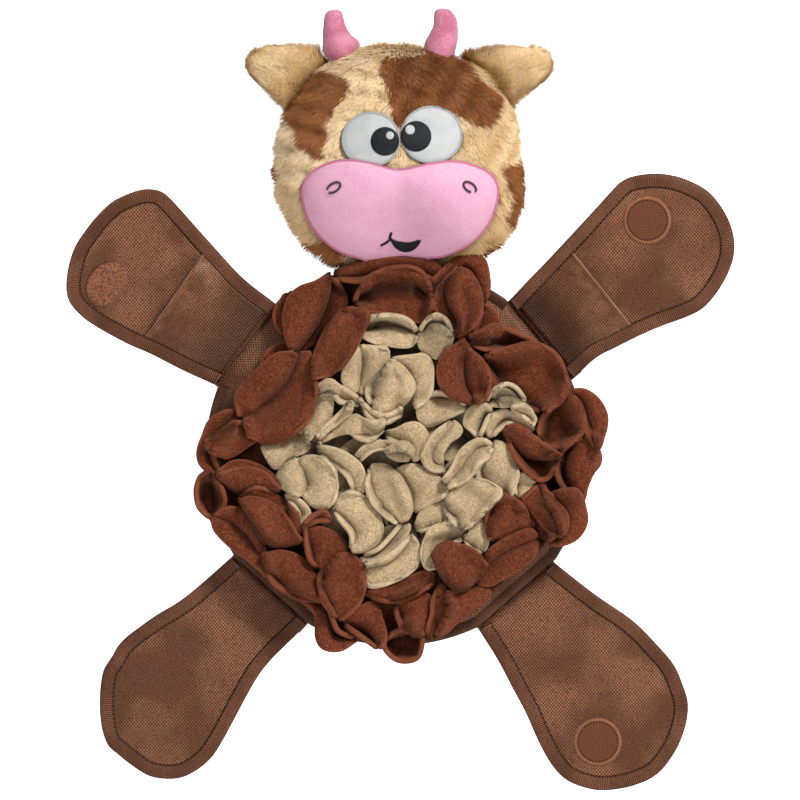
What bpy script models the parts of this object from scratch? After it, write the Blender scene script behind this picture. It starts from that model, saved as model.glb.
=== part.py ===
"""A plush snuffle toy, lying flat on its back.

A padded round mat carries rows of folded fleece petals. Four flat legs and a stuffed head are sewn
to its edge and fold about their seams, and the head's two ears flop. Left and right are as seen from
above with the head at the top. Metres, +Z up, +Y towards the head. The origin is at the mat's centre
on its underside.
"""

import math

import bmesh
import bpy
from mathutils import Vector

# Cloth, tape and clearances
CLEARANCE = 0.0003
CLOTH = 0.0008
TAPE = 0.0006
TAPE_WIDTH = 0.0073
TAPE_BEND = 0.0004
SOFT_EDGE = 0.0004

# Mat
MAT_RADIUS = 0.1025
SEAM_HALF = 0.027
MAT_THICK = 0.0058
PAD_SLOPE = 0.009
PAD_ROUND = 0.0025
MAT_ARC_STEPS = 4

# Hinge seams of the legs and the neck
SEAM_OUT = 0.0014
LEG_AZIMUTHS = {
    "front_right": 39.5,
    "front_left": 142.7,
    "rear_left": 228.0,
    "rear_right": 311.5,
}
NECK_AZIMUTH = 90.0

# Legs
LEG_LENGTH = 0.120
LEG_SEAM_HALF = 0.02725
LEG_SEAM_SHIFT = 0.00175
LEG_WIDE_HALF = 0.03955
LEG_WIDE_SHIFT = 0.00325
LEG_PANEL = 0.0016
LEG_TAPE_START = 0.003
# How far along a leg it stops widening
LEG_FLARE_SHARE = 0.7
LEG_REACH_SHARES = {
    "front_right": 1.0,
    "front_left": 0.9,
    "rear_left": 0.99,
    "rear_right": 1.0,
}
LEG_WIDTH_SHARES = {
    "front_right": 1.0,
    "front_left": 1.0,
    "rear_left": 0.99,
    "rear_right": 1.07,
}
# The side on which each leg is the wider: 1 is anticlockwise from above
LEG_WIDE_SIDES = {
    "front_right": -1,
    "front_left": 1,
    "rear_left": -1,
    "rear_right": -1,
}
LEG_SIDE_STEPS = 5
LEG_TIP_STEPS = 9
# The panel's end on the hinge axis: places and half thicknesses, as shares of its half thickness
LEG_ROOT_SHARES = ((-0.7, 0.6), (0.0, 1.0))
# The raised tip of the front left leg: where along it it bends, and how steep it becomes
TIP_BEND_SHARES = ((0.52, 11.0), (0.57, 22.0), (0.62, 33.0))

# Pockets on the front legs
POCKET_START = 0.004
POCKET_LENGTH = 0.041
POCKET_ROOM = 0.0052
POCKET_SIDE_GAP = 0.0006
POCKET_ALONG_SHARES = (0.0, 0.15, 0.4, 0.7, 1.0)
POCKET_ACROSS_SHARES = (-1.0, -0.88, -0.6, -0.25, 0.25, 0.6, 0.88, 1.0)
# Where the bow reaches its full height: along the pocket, and in from each side
POCKET_RISE_SHARE = 0.4
POCKET_BOW_SHARE = 0.5

# Hook-and-loop coins: their leg, how far along it and across its half width, and which face
COIN_RADIUS = 0.0125
COIN_THICK = 0.0014
COIN_FLAT_THICK = 0.0005
COIN_SIDES = 16
COIN_PLACE_SHARES = {
    "front_right_hook_coin": ("front_right", 0.704, 0.265, 1),
    "front_left_loop_coin": ("front_left", 0.722, 0.455, 1),
    "rear_right_hook_coin": ("rear_right", 0.733, -0.449, 1),
    "rear_left_loop_coin": ("rear_left", 0.741, -0.1, -1),
}

# Fleece petals. A row is a chain of round discs, each folded in two and sewn along its fold.
FLEECE = 0.0020
FOLD_HALF = 0.0015
PETAL_HEIGHT = 0.022
SMALL_PETAL_HEIGHT = 0.018
PETAL_LOW = 0.0026
ROW_SIDE_RADIUS = 0.0825
ROW_MIDDLE_RADIUS = 0.089
BROWN_INNER_RADIUS = 0.065
TAN_OUTER_RADIUS = 0.049
TAN_MIDDLE_RADIUS = 0.0335
TAN_INNER_RADIUS = 0.018
TAN_CENTRE_HALF = 0.012
ROW_GAP_DEG = 2.4
STAND_DEG = 10.0
SIDE_LEAN_DEG = 13.0
DISC_STATION_SHARES = (0.0, 0.12, 0.3, 0.5, 0.7, 0.88)
CURL_LOW_SHARE = 0.6
CURL_HIGH_SHARE = 1.4
SHARPEST_MITRE = 0.5
# Node, azimuth of its middle, half its span in degrees, and the lean of its middle disc outwards
BROWN_OUTER_ROWS = (
    ("brown_petals_outer_right", -4.5, 43.5, 50.0),
    ("brown_petals_outer_top", 91.0, 51.0, 10.0),
    ("brown_petals_outer_left", 185.5, 42.5, 45.0),
    ("brown_petals_outer_bottom", 270.0, 41.5, 42.0),
)
BROWN_OUTER_DISCS = 3
# Node, radius, azimuth of its first disc's middle, discs, degrees for each disc, height
RING_ROWS = (
    ("brown_petals_inner_right", BROWN_INNER_RADIUS, -45.0, 2, 45.0, PETAL_HEIGHT),
    ("brown_petals_inner_top", BROWN_INNER_RADIUS, 45.0, 2, 45.0, PETAL_HEIGHT),
    ("brown_petals_inner_left", BROWN_INNER_RADIUS, 135.0, 2, 45.0, PETAL_HEIGHT),
    ("brown_petals_inner_bottom", BROWN_INNER_RADIUS, 225.0, 2, 45.0, PETAL_HEIGHT),
    ("tan_petals_outer_top", TAN_OUTER_RADIUS, 0.0, 4, 45.0, PETAL_HEIGHT),
    ("tan_petals_outer_bottom", TAN_OUTER_RADIUS, 180.0, 4, 45.0, PETAL_HEIGHT),
    ("tan_petals_middle_top", TAN_MIDDLE_RADIUS, 0.0, 2, 90.0, PETAL_HEIGHT),
    ("tan_petals_middle_bottom", TAN_MIDDLE_RADIUS, 180.0, 2, 90.0, PETAL_HEIGHT),
    ("tan_petals_inner", TAN_INNER_RADIUS, 90.0, 3, 116.0, SMALL_PETAL_HEIGHT),
)

# Head, a stuffed pillow of two plush panels
HEAD_RADIUS = 0.065
HEAD_X = 0.0032
HEAD_Y = 0.1611
HEAD_TOP = 0.060
HEAD_RIM = 0.024
PLUSH = 0.0015
HEAD_ROUND_POWER = 0.55
NECK_POWER = 1.4
NECK_SPREAD_DEG = 38.0
NECK_OVERLAP = 0.0011
HEAD_BACK_SHARE = 1.2
# Distance of the side seam from the head's middle, every 18 degrees from +X
HEAD_REACH_SHARES = (
    0.975, 0.985, 0.985, 0.97, 0.95, 0.955, 0.99, 1.0, 1.0, 1.03,
    1.045, 1.08, 1.065, 1.06, 1.0, 0.94, 0.99, 1.05, 1.08, 1.05,
)
HEAD_RING_SHARES = (0.14, 0.36, 0.56, 0.73, 0.87, 0.96, 1.0)
HEAD_AZIMUTH_STEPS = 28

# Face, in shares of the head's radius from its middle
MUZZLE_CENTRE_SHARES = (-0.025, -0.463)
MUZZLE_REACH_SHARES = (
    0.775, 0.815, 0.695, 0.514, 0.412, 0.355, 0.413, 0.503, 0.669, 0.79,
    0.774, 0.68, 0.575, 0.487, 0.442, 0.408, 0.429, 0.472, 0.568, 0.681,
)
MUZZLE_THICK = 0.0022
MUZZLE_CROWN = 0.0016
MUZZLE_SIDES = 30
EYE_THICK = 0.0012
STITCH_THICK = 0.0008
PATCH_ROOT_SHARE = 0.5
# A patch's upper face: shares of its reach and of its crown
PATCH_CROWN_SHARES = ((0.93, 0.0), (0.6, 0.64), (0.2, 1.0))
EYE_SIDES = 20
EYE_SHARES = {
    "left": ((-0.256, 0.132), 0.228),
    "right": ((0.245, 0.170), 0.245),
}
PUPIL_SIDES = 14
PUPIL_SHARES = {
    "left": ((-0.140, 0.107), 0.120),
    "right": ((0.116, 0.149), 0.128),
}
GLINT_SIDES = 8
GLINT_SHARES = {
    "left": ((-0.099, 0.157), 0.036),
    "right": ((0.066, 0.207), 0.042),
}
NOSTRIL_SIDES = 14
NOSTRIL_LINE = 0.0013
NOSTRIL_SHARES = {
    "left": ((-0.562, -0.273), (0.070, 0.052)),
    "right": ((0.559, -0.273), (0.066, 0.052)),
}
NOSTRIL_TILTS = {"left": 30.0, "right": -30.0}
MOUTH_SIDES = 20
MOUTH_CENTRE_SHARES = (0.014, -0.742)
MOUTH_REACH_SHARES = (
    0.140, 0.110, 0.052, 0.030, 0.030, 0.032, 0.036, 0.062, 0.115, 0.130,
    0.110, 0.085, 0.068, 0.062, 0.062, 0.066, 0.072, 0.085, 0.105, 0.130,
)

# Horns: each middle line, in shares of the head's radius from its middle
HORN_PATH_SHARES = {
    "left": ((-0.45, 0.80), (-0.53, 1.02), (-0.545, 1.165)),
    "right": ((0.31, 0.82), (0.364, 1.035), (0.335, 1.16)),
}
HORN_BASE_RADIUS = 0.0100
HORN_TIP_RADIUS = 0.0038
HORN_HEIGHT = 0.027
HORN_SIDES = 10
HORN_RINGS = 7
HORN_TAPER_POWER = 0.8
HORN_END_SHARE = 0.5

# Ears: azimuth of each root's outward direction, its shift along the root, and the side it leans to
EARS = {"left": (136.2, 0.0068, 1), "right": (43.8, -0.0022, -1)}
EAR_LENGTH = 0.0268
EAR_ROOT_HALF = 0.0180
EAR_ROOT_RADIUS = 0.0032
# The rounded root: distances behind the hinge and half thicknesses, as shares of its radius
EAR_ROOT_SHARES = ((0.97, 0.24), (0.7, 0.7))
EAR_THICK = 0.0095
EAR_EDGE_THICK = 0.0016
# Along the ear: its two edges as shares of the root's half width, and its thickness as a share
EAR_STATION_SHARES = (
    (0.0, -0.95, 1.05, 0.60),
    (0.25, -0.82, 1.07, 0.92),
    (0.5, -0.58, 1.07, 1.0),
    (0.74, -0.24, 1.06, 0.85),
    (0.90, 0.04, 1.0, 0.55),
    (1.0, 0.38, 0.80, 0.20),
)
EAR_ACROSS_SHARES = (0.0, 0.14, 0.38, 0.62, 0.86, 1.0)

# Colours
BROWN_OXFORD = (0.235, 0.110, 0.070)
BROWN_TAPE = (0.190, 0.075, 0.045)
BROWN_FLEECE = (0.270, 0.085, 0.050)
TAN_FLEECE = (0.620, 0.470, 0.290)
GOLDEN_PLUSH = (0.690, 0.470, 0.210)
PINK_VELVET = (0.800, 0.330, 0.470)
DEEP_PINK = (0.780, 0.230, 0.360)
WHITE_FELT = (0.800, 0.800, 0.780)
BLACK_THREAD = (0.012, 0.014, 0.018)
WADDING = (0.850, 0.840, 0.800)
HOOK_BROWN = (0.160, 0.080, 0.050)
LOOP_BROWN = (0.300, 0.160, 0.100)

SEAM_REACH = math.sqrt(MAT_RADIUS**2 - SEAM_HALF**2)
HINGE_REACH = SEAM_REACH + SEAM_OUT
LEG_HALF = LEG_PANEL / 2 + CLEARANCE + TAPE
HINGE_Z = LEG_HALF
RIM_THICK = 2 * (CLOTH + TAPE) + 3 * CLEARANCE
PETAL_BASE = MAT_THICK + CLEARANCE
NECK_Y = HINGE_REACH - NECK_OVERLAP
NECK_REACH = HEAD_Y - NECK_Y


def turn(azimuth):
    """The unit vector at an azimuth in degrees."""
    angle = math.radians(azimuth)
    return Vector((math.cos(angle), math.sin(angle), 0))


def ease(share):
    """A smooth rise from 0 to 1, level at both ends."""
    share = min(1, max(0, share))
    return (1 - math.cos(math.pi * share)) / 2


def around(shares, azimuth):
    """Reads a closed outline's shares at any azimuth, on a smooth curve through them."""
    place = azimuth % 360 / 360 * len(shares)
    first = int(place)
    t = place - first
    a, b, c, d = (shares[(first + k) % len(shares)] for k in (-1, 0, 1, 2))
    slope_b, slope_c = (c - a) / 2, (d - b) / 2
    bend = 3 * (c - b) - 2 * slope_b - slope_c
    return b + slope_b * t + bend * t**2 + (2 * (b - c) + slope_b + slope_c) * t**3


def material(name, colour, roughness):
    made = bpy.data.materials.new(name)
    made.use_nodes = True
    shader = made.node_tree.nodes["Principled BSDF"]
    shader.inputs["Base Color"].default_value = (*colour, 1)
    shader.inputs["Roughness"].default_value = roughness
    return made


def add_object(name, points, faces, slot, parent=None, smooth=True):
    """Makes a closed mesh into an object, with its faces turned outwards."""
    mesh = bpy.data.meshes.new(name)
    mesh.from_pydata(points, [], faces)
    work = bmesh.new()
    work.from_mesh(mesh)
    bmesh.ops.recalc_face_normals(work, faces=work.faces)
    work.to_mesh(mesh)
    work.free()
    if smooth:
        mesh.shade_smooth()
        mesh.set_sharp_from_angle(angle=math.radians(40))
    mesh.materials.append(slot)
    made = bpy.data.objects.new(name, mesh)
    bpy.context.scene.collection.objects.link(made)
    made.parent = parent
    return made


def add_pivot(name, place, azimuth=0.0, parent=None):
    """An empty on a hinge's axis, turned so that its own X points outwards."""
    made = bpy.data.objects.new(name, None)
    bpy.context.scene.collection.objects.link(made)
    made.parent = parent
    made.location = place
    made.rotation_euler.z = math.radians(azimuth)
    return made


def fan(points, ring):
    """Adds a ring's middle to the points, and fills the ring with triangles that meet there."""
    points.append(sum((points[k] for k in ring), Vector()) / len(ring))
    middle = len(points) - 1
    return [[one, other, middle] for one, other in zip(ring, ring[1:] + ring[:1])]


def halves(a, b, c, d):
    """A quad as two triangles, always split the same way, so that nested surfaces stay apart."""
    return [[a, b, c], [a, c, d]]


def sheet(name, upper, lower, slot, parent=None, ring=False, closed_rows=False, smooth=True):
    """A thick sheet between two grids of points with equal rows and columns.

    With ring, the columns run all the way round and the first row is a small closed hole's edge,
    which is filled. With closed_rows, the rows run all the way round.
    """
    rows, cols = len(upper), len(upper[0])
    points = [p for grid in (upper, lower) for row in grid for p in row]
    side = rows * cols

    def at(grid, row, col):
        return grid * side + row % rows * cols + col % cols

    row_steps = rows if closed_rows else rows - 1
    col_steps = cols if ring else cols - 1
    faces = []
    for row in range(row_steps):
        for col in range(col_steps):
            corners = ((row, col), (row, col + 1), (row + 1, col + 1), (row + 1, col))
            for grid in (0, 1):
                faces += halves(*(at(grid, *corner) for corner in corners))
    if not ring:
        for row in range(row_steps):
            for col in (0, cols - 1):
                faces.append([at(0, row, col), at(0, row + 1, col), at(1, row + 1, col), at(1, row, col)])
    if not closed_rows:
        for row in (rows - 1,) if ring else (0, rows - 1):
            for col in range(col_steps):
                faces.append([at(0, row, col), at(0, row, col + 1), at(1, row, col + 1), at(1, row, col)])
    if ring:
        for grid in (0, 1):
            faces += fan(points, [at(grid, 0, col) for col in range(cols)])
    return add_object(name, points, faces, slot, parent, smooth)


def loft(name, rings, slot, parent=None, smooth=True):
    """A solid through closed rings of equal length, capped at both ends."""
    count = len(rings[0])
    points = [p for ring in rings for p in ring]
    faces = []
    for level in range(len(rings) - 1):
        for k in range(count):
            after = (k + 1) % count
            low, high = level * count, (level + 1) * count
            faces.append([low + k, low + after, high + after, high + k])
    faces += fan(points, list(range(count)))
    faces += fan(points, [(len(rings) - 1) * count + k for k in range(count)])
    return add_object(name, points, faces, slot, parent, smooth)


def cut(piece, *cutters):
    """Cuts enlarged copies of larger pieces out of a piece."""
    for cutter in cutters:
        made = piece.modifiers.new(cutter.name, "BOOLEAN")
        made.operation = "DIFFERENCE"
        made.object = cutter
        cutter.hide_render = True
        cutter.display_type = "WIRE"


def mat_azimuths():
    """Azimuths round the mat: both ends of each straight seam, and steps along the arcs between."""
    half = math.degrees(math.asin(SEAM_HALF / MAT_RADIUS))
    seams = sorted([*LEG_AZIMUTHS.values(), NECK_AZIMUTH])
    found = []
    for this, following in zip(seams, seams[1:] + [seams[0] + 360]):
        start, stop = this + half, following - half
        found += [this - half, this]
        found += [start + (stop - start) * k / MAT_ARC_STEPS for k in range(MAT_ARC_STEPS)]
    return found


def mat_point(azimuth, inset, height):
    """A point drawn in from the mat's edge, which runs straight along each hinge seam."""
    reach = MAT_RADIUS
    for seam in (*LEG_AZIMUTHS.values(), NECK_AZIMUTH):
        facing = math.cos(math.radians(azimuth - seam))
        if facing > 0:
            reach = min(reach, SEAM_REACH / facing)
    return turn(azimuth) * (reach - inset) + Vector((0, 0, height))


def tape_section(half):
    """A folded tape's outer and inner faces, as distances inwards from the edge and heights."""
    inner = half - TAPE
    outer_line = [
        (TAPE_WIDTH, half),
        (TAPE, half),
        (0, half - TAPE),
        (0, TAPE - half),
        (TAPE, -half),
        (TAPE_WIDTH, -half),
    ]
    bend = TAPE + TAPE_BEND
    inner_line = [
        (TAPE_WIDTH, inner),
        (bend, inner),
        (TAPE, inner - TAPE_BEND),
        (TAPE, TAPE_BEND - inner),
        (bend, -inner),
        (TAPE_WIDTH, -inner),
    ]
    return outer_line, inner_line


def build_mat(slots):
    """The mat: two cloth panels with padding between them, and a tape folded round the edge."""
    azimuths = mat_azimuths()
    edge = TAPE + CLEARANCE
    panel_low = TAPE + CLEARANCE
    panel_high = RIM_THICK - TAPE - CLEARANCE
    tape_end = TAPE_WIDTH + CLEARANCE

    def rings(levels):
        return [[mat_point(a, inset, z) for a in azimuths] for inset, z in levels]

    def panel(name, steps, middle_low, rim_low):
        levels = [(MAT_RADIUS / 2, middle_low), (steps, middle_low), (tape_end, rim_low), (edge, rim_low)]
        upper = rings([(inset, low + CLOTH) for inset, low in levels])
        sheet(name, upper, rings(levels), slots["oxford"], ring=True)

    step = tape_end + TAPE_WIDTH
    slope = tape_end + PAD_SLOPE
    panel("mat_back_panel", step, 0, panel_low)
    panel("mat_top_panel", slope, MAT_THICK - CLOTH, panel_high - CLOTH)

    pad_low = CLOTH + CLEARANCE
    pad_high = MAT_THICK - CLOTH - CLEARANCE
    pad_edge = max(step, slope) + CLEARANCE
    pad_levels = [
        (pad_edge + PAD_ROUND, pad_low),
        (pad_edge, (pad_low + pad_high) / 2),
        (pad_edge + PAD_ROUND, pad_high),
    ]
    loft("mat_padding", rings(pad_levels), slots["wadding"])

    outer_line, inner_line = tape_section(RIM_THICK / 2)
    outer = [[mat_point(a, i, z + RIM_THICK / 2) for i, z in outer_line] for a in azimuths]
    inner = [[mat_point(a, i, z + RIM_THICK / 2) for i, z in inner_line] for a in azimuths]
    sheet("mat_binding", outer, inner, slots["tape"], closed_rows=True)


class Leg:
    """One leg's shape in its own frame: X outwards from the hinge axis, Y sideways, Z up."""

    def __init__(self, name):
        self.name = name
        self.side = LEG_WIDE_SIDES[name]
        self.length = LEG_LENGTH * LEG_REACH_SHARES[name]
        self.flare = self.length * LEG_FLARE_SHARE
        self.tip = self.length - self.flare
        self.half = LEG_WIDE_HALF * LEG_WIDTH_SHARES[name]
        self.width_share = LEG_WIDTH_SHARES[name]
        self.bends = TIP_BEND_SHARES if name == "front_left" else ()
        azimuth = LEG_AZIMUTHS[name]
        self.pivot = add_pivot(
            f"{name}_hinge", turn(azimuth) * HINGE_REACH + Vector((0, 0, HINGE_Z)), azimuth
        )

    def place(self, x, y, lift):
        """A point at a height above the leg's middle layer, which bends upwards at set places."""
        height, before = 0.0, 0.0
        for share, angle in self.bends:
            beyond = x - share * self.length
            if beyond > 0:
                slope = math.tan(math.radians(angle))
                height += (slope - before) * beyond
                before = slope
        return Vector((x, y, height + lift * math.hypot(1, before)))

    def widths(self, x):
        """The leg's middle line and half width at a distance from the hinge."""
        share = ease(x / self.flare)
        half = LEG_SEAM_HALF + (LEG_WIDE_HALF - LEG_SEAM_HALF) * share
        shift = LEG_SEAM_SHIFT + (LEG_WIDE_SHIFT - LEG_SEAM_SHIFT) * share
        return shift * self.side, half * self.width_share

    def edge_pairs(self, inset, start):
        """Both edges from the hinge to the tip, drawn in by inset, as a distance and two sideways places."""
        steps = [start + (self.flare - start) * k / LEG_SIDE_STEPS for k in range(LEG_SIDE_STEPS)]
        steps = sorted(steps + [share * self.length for share, _ in self.bends])
        found = []
        for x in steps:
            middle, half = self.widths(x)
            found.append((x, middle + half - inset, middle - half + inset))
        middle, half = self.widths(self.flare)
        for k in range((LEG_TIP_STEPS + 1) // 2):
            angle = math.pi * (0.5 - k / LEG_TIP_STEPS)
            x = self.flare + (self.tip - inset) * math.cos(angle)
            reach = (half - inset) * math.sin(angle)
            found.append((x, middle + reach, middle - reach))
        return found


def build_leg(leg, slots):
    """A leg: a flat panel with a rounded root on the hinge axis, and a tape folded round its edge."""
    half_thick = LEG_PANEL / 2
    inset = TAPE + CLEARANCE
    pairs = leg.edge_pairs(inset, LEG_TAPE_START)
    middle, half = leg.widths(0)
    edges = (middle + half - inset, middle - half + inset)
    rows = [(half_thick * along, *edges, share) for along, share in LEG_ROOT_SHARES]
    rows += [(*pair, 1.0) for pair in pairs]
    upper = [[leg.place(x, y, half_thick * share) for y in (one, other)] for x, one, other, share in rows]
    lower = [[leg.place(x, y, -half_thick * share) for y in (one, other)] for x, one, other, share in rows]
    sheet(f"{leg.name}_leg_panel", upper, lower, slots["oxford"], leg.pivot)

    grids = []
    for line in tape_section(LEG_HALF):
        columns = []
        for distance, lift in line:
            pairs = leg.edge_pairs(distance, LEG_TAPE_START)
            column = [leg.place(x, one, lift) for x, one, _ in pairs]
            columns.append(column + [leg.place(x, other, lift) for x, _, other in reversed(pairs)])
        grids.append([list(row) for row in zip(*columns)])
    sheet(f"{leg.name}_leg_binding", *grids, slots["tape"], leg.pivot)


def build_pocket(leg, slots):
    """A pocket on a front leg: a bowed panel, closed at the hinge end and open towards the tip."""
    inset = TAPE_WIDTH + POCKET_SIDE_GAP
    floor = LEG_PANEL / 2 + CLEARANCE
    upper, lower = [], []
    for along in POCKET_ALONG_SHARES:
        x = POCKET_START + POCKET_LENGTH * along
        middle, half = leg.widths(x)
        half -= inset
        room = POCKET_ROOM * ease(along / POCKET_RISE_SHARE)
        high, low = [], []
        for across in POCKET_ACROSS_SHARES:
            bow = room * ease((1 - abs(across)) / POCKET_BOW_SHARE)
            y = middle + half * across
            low.append(leg.place(x, y, floor + bow))
            high.append(leg.place(x, y, floor + bow + CLOTH))
        upper.append(high)
        lower.append(low)
    sheet(f"{leg.name}_pocket", upper, lower, slots["oxford"], leg.pivot)


def build_coin(name, leg, along, across, face, slot):
    """A round hook or loop patch, lying on the leg's upper face or under it."""
    x, y = along * leg.length, across * leg.half
    thick = COIN_THICK if face > 0 else COIN_FLAT_THICK
    low = LEG_PANEL / 2 + CLEARANCE
    levels = (
        (COIN_RADIUS, low),
        (COIN_RADIUS, low + thick / 2),
        (COIN_RADIUS - thick / 2, low + thick),
    )
    rings = []
    for radius, lift in levels:
        ways = [turn(360 * k / COIN_SIDES) * radius for k in range(COIN_SIDES)]
        rings.append([leg.place(x + way.x, y + way.y, face * lift) for way in ways])
    loft(name, rings, slot, leg.pivot)


def petal_section(height, lean_out, lean_in):
    """A folded disc's two faces across its fold, as distances outwards and heights."""

    def lobe(lean, side):
        low, high = math.radians(lean * CURL_LOW_SHARE), math.radians(lean * CURL_HIGH_SHARE)
        mid = Vector((side * FOLD_HALF + height / 2 * math.sin(low), height / 2 * math.cos(low)))
        return mid, mid + Vector((math.sin(high), math.cos(high))) * (height / 2)

    out_mid, out_rim = lobe(lean_out, 1)
    in_mid, in_rim = lobe(-lean_in, -1)
    line = [out_rim, out_mid, Vector((FOLD_HALF, 0)), Vector((-FOLD_HALF, 0)), in_mid, in_rim]
    lifted = [p + Vector((0, FLEECE / 2)) for p in line]
    faces = ([], [])
    for k, here in enumerate(lifted):
        before = (here - lifted[k - 1]).normalized() if k else (lifted[1] - here).normalized()
        after = (lifted[k + 1] - here).normalized() if k < len(lifted) - 1 else before
        along = (before + after).normalized()
        square = Vector((-along.y, along.x)) / max(along.dot(after), SHARPEST_MITRE)
        faces[0].append(here - square * (FLEECE / 2))
        faces[1].append(here + square * (FLEECE / 2))
    return faces


def petal_row(name, slot, stations):
    """A row of folded discs from stations of place, outward direction, height and both leans."""
    upper, lower = [], []
    for place, outward, height, lean_out, lean_in in stations:
        for grid, face in zip((upper, lower), petal_section(height, lean_out, lean_in)):
            grid.append([place + outward * p.x + Vector((0, 0, PETAL_BASE + p.y)) for p in face])
    sheet(name, upper, lower, slot)


def disc_heights(discs, full):
    """How high the fleece stands at stations along a chain of half discs, with each station's share."""
    found = []
    for disc in range(discs):
        for share in DISC_STATION_SHARES:
            rise = math.sqrt(max(0, 1 - (2 * share - 1) ** 2))
            found.append(((disc + share) / discs, PETAL_LOW + (full - PETAL_LOW) * rise))
    found.append((1.0, PETAL_LOW))
    return found


def build_petals(slots):
    for name, middle, half_span, lean in BROWN_OUTER_ROWS:
        span = half_span - ROW_GAP_DEG / 2
        stations = []
        for share, height in disc_heights(BROWN_OUTER_DISCS, PETAL_HEIGHT):
            across = 2 * share - 1
            swell = (1 - across**2) ** 2
            azimuth = middle + span * across
            radius = ROW_SIDE_RADIUS + (ROW_MIDDLE_RADIUS - ROW_SIDE_RADIUS) * swell
            outward = turn(azimuth)
            lean_out = SIDE_LEAN_DEG + (lean - SIDE_LEAN_DEG) * swell
            stations.append((outward * radius, outward, height, lean_out, STAND_DEG))
        petal_row(name, slots["brown_fleece"], stations)

    for name, radius, first, discs, each, full in RING_ROWS:
        slot = slots["brown_fleece" if name.startswith("brown") else "tan_fleece"]
        span = discs * each - ROW_GAP_DEG * BROWN_INNER_RADIUS / radius
        start = first - each / 2 + (discs * each - span) / 2
        stations = []
        for share, height in disc_heights(discs, full):
            outward = turn(start + span * share)
            stations.append((outward * radius, outward, height, STAND_DEG, STAND_DEG))
        petal_row(name, slot, stations)

    stations = []
    for share, height in disc_heights(1, SMALL_PETAL_HEIGHT):
        place = Vector((TAN_CENTRE_HALF * (2 * share - 1), 0, 0))
        stations.append((place, Vector((0, -1, 0)), height, STAND_DEG, STAND_DEG))
    petal_row("tan_petals_centre", slots["tan_fleece"], stations)


def neckness(azimuth):
    """How much of the neck's pinched shape the head has at an azimuth, from 0 to 1."""
    off = (azimuth - NECK_AZIMUTH) % 360 - 180
    return math.exp(-((off / NECK_SPREAD_DEG) ** 2))


def head_reach(azimuth):
    """Distance of the head's side seam from its middle, straight along the neck."""
    reach = HEAD_RADIUS * around(HEAD_REACH_SHARES, azimuth)
    facing = -math.sin(math.radians(azimuth))
    return min(reach, NECK_REACH / facing) if facing > 0 else reach


def head_rim(azimuth):
    return HEAD_RIM + (HINGE_Z - HEAD_RIM) * neckness(azimuth)


def head_dome(azimuth, share):
    """The pillow's rise at a share of the way out, steeper at the side seam than at the neck."""
    power = HEAD_ROUND_POWER + (NECK_POWER - HEAD_ROUND_POWER) * neckness(azimuth)
    return max(0, 1 - share**2) ** power


def head_front(azimuth, share, grow=0.0, lift=0.0):
    """A point of the head's front, with the whole shape grown outwards."""
    rim = head_rim(azimuth)
    height = rim + lift + (HEAD_TOP + grow - rim - lift) * head_dome(azimuth, share)
    way = turn(azimuth) * ((head_reach(azimuth) + grow) * share)
    return Vector((HEAD_X + way.x, HEAD_Y + way.y, height))


def head_back(azimuth, share, grow=0.0, drop=0.0):
    """A point of the head's back, which is flat where it rests."""
    rim = head_rim(azimuth) - drop
    height = max(-grow, rim - (rim + grow) * HEAD_BACK_SHARE * head_dome(azimuth, share))
    way = turn(azimuth) * ((head_reach(azimuth) + grow) * share)
    return Vector((HEAD_X + way.x, HEAD_Y + way.y, height))


def head_height(x, y):
    """The height of the head's front above a point."""
    dx, dy = x - HEAD_X, y - HEAD_Y
    azimuth = math.degrees(math.atan2(dy, dx))
    share = min(1, math.hypot(dx, dy) / head_reach(azimuth))
    return head_front(azimuth, share).z


def head_grid(surface, **values):
    azimuths = [360 * k / HEAD_AZIMUTH_STEPS for k in range(HEAD_AZIMUTH_STEPS)]
    return [[surface(a, share, **values) for a in azimuths] for share in HEAD_RING_SHARES]


def build_head(slots, pivot):
    """Two plush panels that meet at the side seam, with the stuffing inside them."""
    half_gap = CLEARANCE / 2

    def local(grid):
        return [[p - pivot.location for p in row] for row in grid]

    front_outer = local(head_grid(head_front, lift=half_gap))
    front_inner = local(head_grid(head_front, grow=-PLUSH, lift=half_gap))
    sheet("head_front_panel", front_outer, front_inner, slots["plush"], pivot, ring=True)
    back_outer = local(head_grid(head_back, drop=half_gap))
    back_inner = local(head_grid(head_back, grow=-PLUSH, drop=half_gap))
    sheet("head_back_panel", back_outer, back_inner, slots["plush"], pivot, ring=True)
    inside = -PLUSH - CLEARANCE
    front = local(head_grid(head_front, grow=inside, lift=half_gap))[:-1]
    back = local(head_grid(head_back, grow=inside, drop=half_gap))[:-1]
    sheet("head_stuffing", front, back, slots["wadding"], pivot, ring=True)
    front = local(head_grid(head_front, grow=CLEARANCE, lift=half_gap))
    back = local(head_grid(head_back, grow=CLEARANCE, drop=half_gap))
    return sheet("head_cutter", front, back, slots["plush"], pivot, ring=True, smooth=False)


def face_point(shares):
    return HEAD_X + HEAD_RADIUS * shares[0], HEAD_Y + HEAD_RADIUS * shares[1]


def patch_rings(centre, reach_of, steps, low, high, crown, grow=0.0):
    """A patch that follows the head's front, from low below it to high above it, with a crown."""
    x0, y0 = face_point(centre)
    ways = [turn(360 * k / steps) for k in range(steps)]
    levels = [(PATCH_ROOT_SHARE, low), (1.0, low), (1.0, high + grow - SOFT_EDGE)]
    levels += [(share, high + grow + crown * rise) for share, rise in PATCH_CROWN_SHARES]
    rings = []
    for share, lift in levels:
        ring = []
        for k, way in enumerate(ways):
            reach = (reach_of(360 * k / steps) + grow) * share
            x, y = x0 + way.x * reach, y0 + way.y * reach
            ring.append(Vector((x, y, head_height(x, y) + lift)))
        rings.append(ring)
    return rings


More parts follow.
